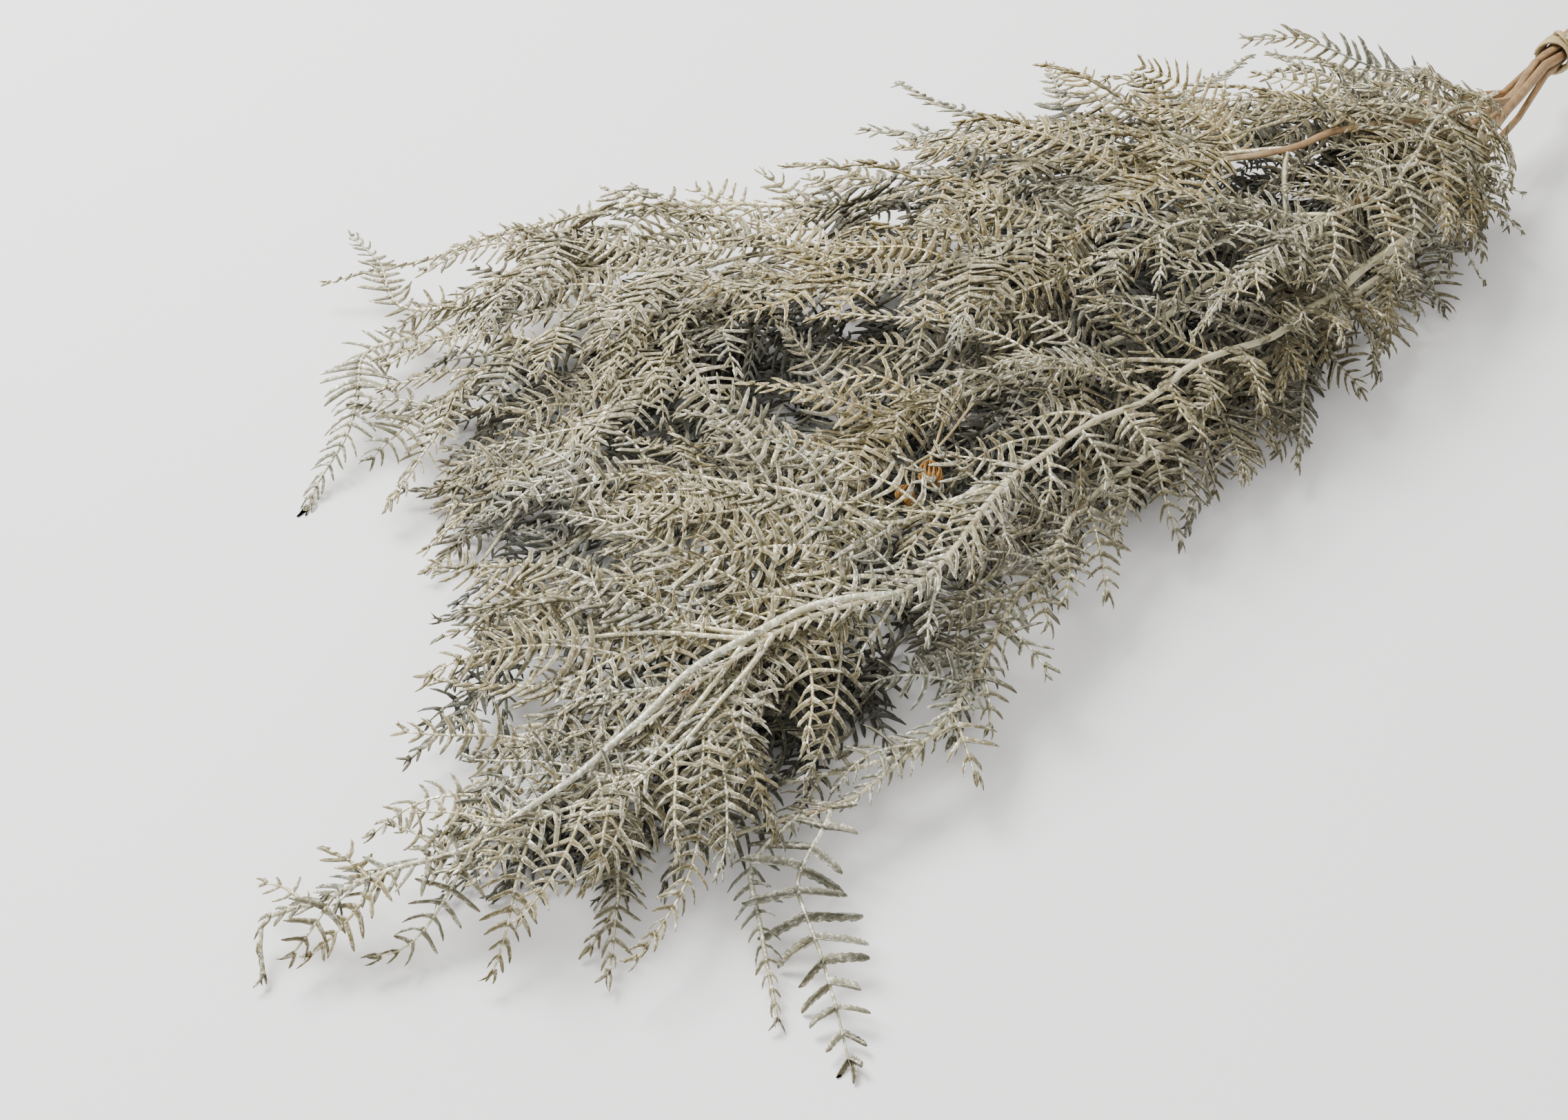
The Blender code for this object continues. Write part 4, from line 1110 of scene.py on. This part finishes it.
def leaf_material(colours):
    """Dry leaf under thin metallic paint, thickest on ribs and leaflet edges and thinnest in the depths, with
    painted shade in the depths, a painted highlight on the leaflet margins and painted glints in the metallic
    specks.
    """
    material, tree, surface = new_material("painted_fern")
    place = tree.nodes.new("ShaderNodeTexCoord").outputs["Object"]
    edge, rib, shade = (attribute(tree, n) for n in ("edge", "rib", "shade"))
    tone, warmth, paleness = (attribute(tree, n) for n in ("tone", "warmth", "paleness"))
    patches = ramp(tree, noise(tree, place, PATCHES), *PATCH_STRETCH)
    gold = times(tree, plus(tree, times(tree, patches, GOLD_IN_PATCHES), tone), warmth)
    leaf = blend_colour(tree, gold, opaque(colours.grey_leaf), opaque(colours.warm_leaf))
    # Painted shade: where other combs lie over it, the leaf turns to the deep colour, which is also dry leaf
    # that paint missed.
    leaf = blend_colour(tree, times(tree, shade, DEEP_SHADE_SHARE), leaf, opaque(colours.shaded_deep_leaf))
    spread = times(tree, ramp(tree, noise(tree, place, MOTTLE), *MOTTLE_STRETCH), PAINT_SPREAD)
    # The leaflet margins get more paint, partly real paint and partly a painted highlight where they curl up.
    margin_paint_and_highlight = times(tree, calc(tree, "POWER", edge, EDGE_POWER), PAINT_AND_HIGHLIGHT_ON_EDGES)
    paint = plus(tree, plus(tree, spread, margin_paint_and_highlight), times(tree, rib, PAINT_ON_RIBS))
    # The paint fades in the depths under other combs: partly paint that missed them, partly painted shade.
    reached, open_to_paint_and_light = paint_reach(tree, tone, paleness, shade)
    paint = times(tree, times(tree, paint, reached), open_to_paint_and_light)
    paint_tone = blend_colour(tree, gold, opaque(colours.paint), opaque(colours.warm_paint))
    painted = blend_colour(tree, paint, leaf, paint_tone)
    # Metallic specks of paint, made pale in the colour as painted glints as well.
    flecks_and_glints = times(tree, ramp(tree, noise(tree, place, SPECKS), *SPECK_STRETCH), paint)
    tree.links.new(blend_colour(tree, flecks_and_glints, painted, opaque(colours.silver_and_glint)), surface["Base Color"])
    metal = plus(tree, times(tree, paint, PAINT_METAL), times(tree, flecks_and_glints, FLECK_METAL))
    tree.links.new(metal, surface["Metallic"])
    tree.links.new(spanned(tree, metal, *LEAF_ROUGHNESS), surface["Roughness"])
    roughen(tree, surface, WRINKLE_BUMP, noise(tree, place, WRINKLES))
    return material


def fibre_material(name, light, dark, streaks, paint=None):
    """A dry stem or straw: streaks run along it, and pale paint lies on it where it isn't bare."""
    material, tree, surface = new_material(name)
    around, along = attribute(tree, "around"), attribute(tree, "along")
    x, y = calc(tree, "COSINE", around), calc(tree, "SINE", around)
    fibres = noise(tree, combined(tree, x, y, times(tree, along, streaks)), FIBRES)
    blotches = noise(tree, tree.nodes.new("ShaderNodeTexCoord").outputs["Object"], BLOTCHES)
    share = times(tree, ramp(tree, fibres, *FIBRE_STRETCH), ramp(tree, blotches, *BLOTCH_STRETCH))
    colour = blend_colour(tree, share, dark, light)
    if paint:
        cover = calc(tree, "SUBTRACT", 1.0, attribute(tree, "bare"))
        cover = times(tree, cover, ramp(tree, blotches, *WORN_STRETCH))
        colour = blend_colour(tree, cover, colour, paint)
    tree.links.new(colour, surface["Base Color"])
    surface["Roughness"].default_value = FIBRE_ROUGHNESS
    roughen(tree, surface, FIBRE_BUMP, fibres)
    return material


def own_fibre(name, colour, dark_share, streaks):
    """A fibre whose darker streaks are a darker shade of its own colour."""
    return fibre_material(name, opaque(colour), opaque(colour, dark_share), streaks)


def plain_material(name, colour, roughness):
    material, tree, surface = new_material(name)
    surface["Base Color"].default_value = opaque(colour)
    surface["Roughness"].default_value = roughness
    return material


# Settings.


def size_setting(name, description, default, **more):
    return bpy.props.FloatProperty(name=name, description=description, default=default, **more)


def colour_setting(name, description, *default):
    kind = bpy.props.FloatVectorProperty
    return kind(name=name, description=description, default=default, subtype="COLOR")


class FernSizes(bpy.types.PropertyGroup):
    comb_spacing: size_setting(
        "Comb spacing", "From comb to comb on one side of a spray", 0.0160, unit="LENGTH"
    )
    spray_spacing: size_setting(
        "Spray spacing", "From side spray to side spray along a spray", 0.075, unit="LENGTH"
    )
    leaflet_spacing: size_setting(
        "Leaflet spacing", "From leaflet to leaflet on one side of a comb", 0.0033, unit="LENGTH"
    )
    leaflet_width: size_setting("Leaflet width", "Half a leaflet's width, as a share of its length", 0.071)
    lean: size_setting("Lean", "How far leaflets lean to the tip", 0.12, subtype="ANGLE")
    droop: size_setting("Droop", "How far leaflets hang", 0.06, subtype="ANGLE")
    disorder: size_setting("Disorder", "How unevenly leaflets sit", 0.95)
    relief: size_setting("Relief", "How far combs roll out of the pile's surface", 1.0)
    leaflet_shapes: bpy.props.IntProperty(
        name="Leaflet shapes", description="Different leaflet shapes", default=7
    )


class FernColours(bpy.types.PropertyGroup):
    grey_leaf: colour_setting("Grey leaf", "Dry leaf in the cool patches", 0.072, 0.074, 0.048)
    warm_leaf: colour_setting("Warm leaf", "Dry leaf in the warm patches", 0.165, 0.112, 0.028)
    # The deep colour is dry leaf that paint missed, darkened further as painted shade in the depths.
    shaded_deep_leaf: colour_setting("Deep leaf", "Leaf in the depths, which paint missed", 0.035, 0.038, 0.029)
    paint: colour_setting("Paint", "Pale wash over leaves and ribs", 0.59, 0.575, 0.42)
    warm_paint: colour_setting("Warm paint", "Paint in the warm patches", 0.64, 0.52, 0.22)
    # The specks' colour: metallic paint, made whiter as painted glints.
    silver_and_glint: colour_setting("Silver", "Metallic flecks", 1.0, 0.98, 0.90)
    stem: colour_setting("Stem", "Light fibres of the bare stems", 0.43, 0.27, 0.115)
    stem_dark: colour_setting("Dark stem", "Dark fibres of the bare stems", 0.13, 0.065, 0.022)
    stem_paint: colour_setting("Stem paint", "Thin paint over the stems in the leaves", 0.47, 0.44, 0.29)
    raffia: colour_setting("Raffia", "The tie and the seed heads' straws", 0.52, 0.40, 0.19)
    seed: colour_setting("Seed head", "Rays of the seed heads", 0.42, 0.18, 0.015)
    floor: colour_setting("Floor", "The surface that the bunch lies on", 0.78, 0.775, 0.765)


class FernLight(bpy.types.PropertyGroup):
    key: size_setting("Key light", "Power of the soft light", 52.0, unit="POWER")
    room: size_setting("Room light", "Strength of the light from all round", 0.86)


# Operators.


# The inputs of the stems tree for the section of each kind of stem.
STEM_SECTION = {"Section points": 14, "Flatness": 0.84, "Groove depth": 0.07, "Grooves": 5.0}
RAFFIA_SECTION = {"Section points": 10, "Flatness": 0.62, "Groove depth": 0.08, "Grooves": 4.0}
SEED_SECTION = {"Section points": 8, "Flatness": 0.9, "Groove depth": 0.05, "Grooves": 3.0}


def dress(piece, node):
    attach(piece, BODY)
    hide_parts(node)


class FERN_OT_stems(bpy.types.Operator):
    """Build the fronds' stems, from the cut ends through the twisted bundle to the tips"""

    bl_idname = "fern.stems"
    bl_label = "Build stems"

    def execute(self, context):
        colours = context.scene.fern_colours
        light, dark, paint = (opaque(c) for c in (colours.stem, colours.stem_dark, colours.stem_paint))
        material = fibre_material("fern_stem", light, dark, STEM_STREAKS, paint)
        tree = stems_tree()
        for name, frond in FRONDS.items():
            lines = Lines()
            points, facing, radii, bare = stem_line(frond)
            lines.add(points, facing, radius=radii, bare=bare)
            values = {**STEM_SECTION, "Material": material}
            dress(grow(lines, tree, values, name + "_stem"), name)
        return {"FINISHED"}


class FERN_OT_foliage(bpy.types.Operator):
    """Build the fronds' sprays, with their combs and leaflets"""

    bl_idname = "fern.foliage"
    bl_label = "Build foliage"

    def execute(self, context):
        sizes, colours = context.scene.fern_sizes, context.scene.fern_colours
        material = leaf_material(colours)
        tree = leafed_ribs_tree(sizes.leaflet_shapes)
        groups = {
            (coarse, mirror): leaflet_collection(
                f"leaflets_{coarse}_{mirror}", sizes.leaflet_shapes, coarse, mirror, sizes.leaflet_width
            )
            for coarse in (False, True)
            for mirror in (False, True)
        }
        grown = {name: self.lines_of(name, frond, sizes) for name, frond in FRONDS.items()}
        shade_by_cover([lines for pair in grown.values() for lines in pair])
        for seed, (name, frond) in enumerate(FRONDS.items()):
            for is_coarse, lines in enumerate(grown[name]):
                if not lines.points:
                    continue
                values = {
                    "Left leaflets": groups[bool(is_coarse), False],
                    "Right leaflets": groups[bool(is_coarse), True],
                    "Leaflet spacing": sizes.leaflet_spacing * (COARSE_SPACING if is_coarse else 1.0),
                    "Forward lean": sizes.lean,
                    "Droop": sizes.droop,
                    "Disorder": frond["disorder"] * sizes.disorder * (COARSE_DISORDER if is_coarse else 1.0),
                    "Rib sides": RIB_SIDES,
                    "Seed": seed,
                    "Material": material,
                }
                label = "_coarse_tip" if is_coarse else "_foliage"
                dress(grow(lines, tree, values, name + label), name)
        for group in groups.values():
            for shape in list(group.objects):
                bpy.data.objects.remove(shape)
            bpy.data.collections.remove(group)
        return {"FINISHED"}

    def lines_of(self, name, frond, sizes):
        """The frond's sprays and combs: those with fine leaflets and those with coarse ones."""
        fine, coarse = Lines(), Lines()
        for number, style in enumerate(frond["sprays"]):
            own = f"{name} {number}"
            add_spray(coarse if style["coarse"] else fine, own, style, frond)
            if not style["near"]:
                continue
            gap = sizes.comb_spacing * frond["thinness"]
            add_combs_along(fine, own, style, frond, gap, sizes.relief)
            spacing = sizes.spray_spacing * frond["openness"]
            for lesser, more in enumerate(side_sprays(own, style, spacing)):
                add_spray(fine, f"{own} {lesser}", more, frond)
                add_combs_along(fine, f"{own} {lesser}", more, frond, gap, sizes.relief)
        return fine, coarse


class FERN_OT_tie(bpy.types.Operator):
    """Wind the raffia tie round the bundle"""

    bl_idname = "fern.tie"
    bl_label = "Build tie"

    def execute(self, context):
        colours = context.scene.fern_colours
        centre, along = bundle_axis(TIE_SHARE)
        side = UP.cross(along).normalized()
        high = along.cross(side)
        radius = BUNDLE_RING_RADIUS + STEM_RADIUS + STRAND_RADIUS
        draw = random.Random("raffia")
        lines = Lines()
        steps = TIE_TURNS * TIE_STEPS
        for strand in range(2):
            points, facing = [], []
            offset = draw.uniform(*STRAND_START) + math.pi * strand
            for k in range(steps + 1):
                turn = 2 * math.pi * k / TIE_STEPS
                run = (k / steps - 0.5) * 2 * STRAND_RADIUS * TIE_TURNS
                out = side * math.cos(turn + offset) + high * math.sin(turn + offset)
                waver = STRAND_WAVER * math.sin(STRAND_WAVER_PACE * turn + strand)
                points.append(centre + along * (run + waver) + out * (radius + STRAND_GAP * strand))
                facing.append(out)
            lines.add(points, facing, radius=STRAND_RADIUS)
        knot = centre + high * (radius + KNOT_RISE)
        for tail in TAILS:
            points = smooth_route([knot + along * a + side * b + UP * c for a, b, c in tail], KNOT_STEP)
            lines.add(points, facing_along(points), radius=STRAND_RADIUS)
        material = own_fibre("raffia", colours.raffia, *RAFFIA_FINISH)
        values = {**RAFFIA_SECTION, "Material": material}
        dress(grow(lines, stems_tree(), values, "raffia_winding"), "raffia_tie")
        return {"FINISHED"}


class FERN_OT_seed_heads(bpy.types.Operator):
    """Build the stray seed heads and their straws"""

    bl_idname = "fern.seed_heads"
    bl_label = "Build seed heads"

    def execute(self, context):
        colours = context.scene.fern_colours
        over = at_level(Vector(STRAW_OVER_RACHIS)) + Vector((0, 0, STEM_RADIUS + STRAW_RADIUS))
        end = over + Vector(STRAW_DROP)
        straws = Lines()
        for line in [[end, over, *STRAWS[0]], *STRAWS[1:]]:
            points = smooth_route(line, STRAW_STEP)
            straws.add(points, facing_along(points), radius=STRAW_RADIUS * STRAW_THINNESS)
        rays = Lines()
        for head in SEED_HEADS:
            self.add_rays(rays, head)
        tree = stems_tree()
        straw = own_fibre("straw", colours.raffia, *STRAW_FINISH)
        seed = own_fibre("seed", colours.seed, *SEED_FINISH)
        dress(grow(straws, tree, {**SEED_SECTION, "Material": straw}, "seed_straws"), "seed_heads")
        dress(grow(rays, tree, {**SEED_SECTION, "Material": seed}, "seed_rays"), "seed_heads")
        return {"FINISHED"}

    def add_rays(self, rays, head):
        """Rays that swell out from the base and close over the cup, each with a thick seed at its end."""
        base, towards = Vector(head["base"]), Vector(head["towards"]).normalized()
        side = UP.cross(towards).normalized()
        high = towards.cross(side)
        for layer, count in ((1.0, SEED_RAYS), (INNER_RAYS, SEED_RAYS // 2)):
            for number in range(count):
                draw = random.Random(f"ray {head['length']} {layer} {number}")
                angle = 2 * math.pi * (number + draw.uniform(*RAY_STRAY)) / count
                out = side * math.cos(angle) + high * math.sin(angle)
                length = head["length"] * draw.uniform(*RAY_LENGTHS)
                points, radii = [], []
                for k in range(RAY_STEPS + 1):
                    s = k / RAY_STEPS
                    arc = math.sin(math.pi * (RAY_SWELL_START + RAY_SWELL_RUN * s))
                    swell = head["radius"] * layer * arc**RAY_SWELL_POWER
                    points.append(base + towards * (length * s) + out * swell)
                    bulge = math.exp(-(((s - RAY_SEED_AT) / RAY_SEED_LENGTH) ** 2))
                    radii.append(RAY_RADIUS + RAY_SEED_RADIUS * bulge)
                rays.add(points, [out] * len(points), radius=radii)


class FERN_OT_stage(bpy.types.Operator):
    """Make the floor, the soft light and the camera"""

    bl_idname = "fern.stage"
    bl_label = "Make stage"

    def execute(self, context):
        colours, light = context.scene.fern_colours, context.scene.fern_light
        bpy.ops.mesh.primitive_plane_add(size=FLOOR_WIDTH)
        floor = context.object
        floor.name = "floor"
        floor.data.materials.append(plain_material("floor", colours.floor, FLOOR_ROUGHNESS))
        for name, (place, width, share) in LAMPS.items():
            self.add_lamp(name, place, width, share * light.key)
        world = bpy.data.worlds.new("room")
        world.use_nodes = True
        glow = world.node_tree.nodes["Background"].inputs
        glow["Color"].default_value = ROOM_COLOUR
        glow["Strength"].default_value = light.room
        context.scene.world = world
        camera = bpy.data.objects.new("camera", bpy.data.cameras.new("camera"))
        camera.data.lens = CAMERA_LENS
        camera.data.sensor_width = CAMERA_SENSOR
        camera.data.sensor_fit = "HORIZONTAL"
        camera.data.clip_start = CAMERA_NEAREST
        camera.location = CAMERA_AT
        level = math.cos(CAMERA_TILT)
        look = Vector((CAMERA_HEADING[0] * level, CAMERA_HEADING[1] * level, -math.sin(CAMERA_TILT)))
        camera.rotation_mode = "QUATERNION"
        camera.rotation_quaternion = look.to_track_quat("-Z", "Y")
        context.scene.collection.objects.link(camera)
        context.scene.camera = camera
        return {"FINISHED"}

    def add_lamp(self, name, place, width, power):
        """A square soft light that faces the bunch."""
        lamp = bpy.data.objects.new(name, bpy.data.lights.new(name, "AREA"))
        lamp.data.energy = power
        lamp.data.size = width
        lamp.location = place
        lamp.rotation_euler = (-Vector(place)).to_track_quat("-Z", "Y").to_euler()
        bpy.context.scene.collection.objects.link(lamp)


STEPS = (FERN_OT_stage, FERN_OT_stems, FERN_OT_foliage, FERN_OT_tie, FERN_OT_seed_heads)


class FERN_PT_panel(bpy.types.Panel):
    """The bunch's steps and settings"""

    bl_label = "Dried fern bunch"
    bl_idname = "FERN_PT_panel"
    bl_space_type = "VIEW_3D"
    bl_region_type = "UI"
    bl_category = "Fern bunch"

    def draw(self, context):
        for step in STEPS:
            self.layout.operator(step.bl_idname)
        for group in (context.scene.fern_sizes, context.scene.fern_colours, context.scene.fern_light):
            box = self.layout.box()
            for key in group.__annotations__:
                box.prop(group, key)


SETTINGS = {"fern_sizes": FernSizes, "fern_colours": FernColours, "fern_light": FernLight}


def register():
    for kind in (*SETTINGS.values(), *STEPS, FERN_PT_panel):
        bpy.utils.register_class(kind)
    for key, kind in SETTINGS.items():
        setattr(bpy.types.Scene, key, bpy.props.PointerProperty(type=kind))


def unregister():
    for key in SETTINGS:
        delattr(bpy.types.Scene, key)
    for kind in (FERN_PT_panel, *reversed(STEPS), *reversed(list(SETTINGS.values()))):
        bpy.utils.unregister_class(kind)


def main():
    register()
    wave.seed_set(WANDER_SEED)
    for step in STEPS:
        group, name = step.bl_idname.split(".")
        getattr(getattr(bpy.ops, group), name)()


if __name__ == "__main__":
    main()
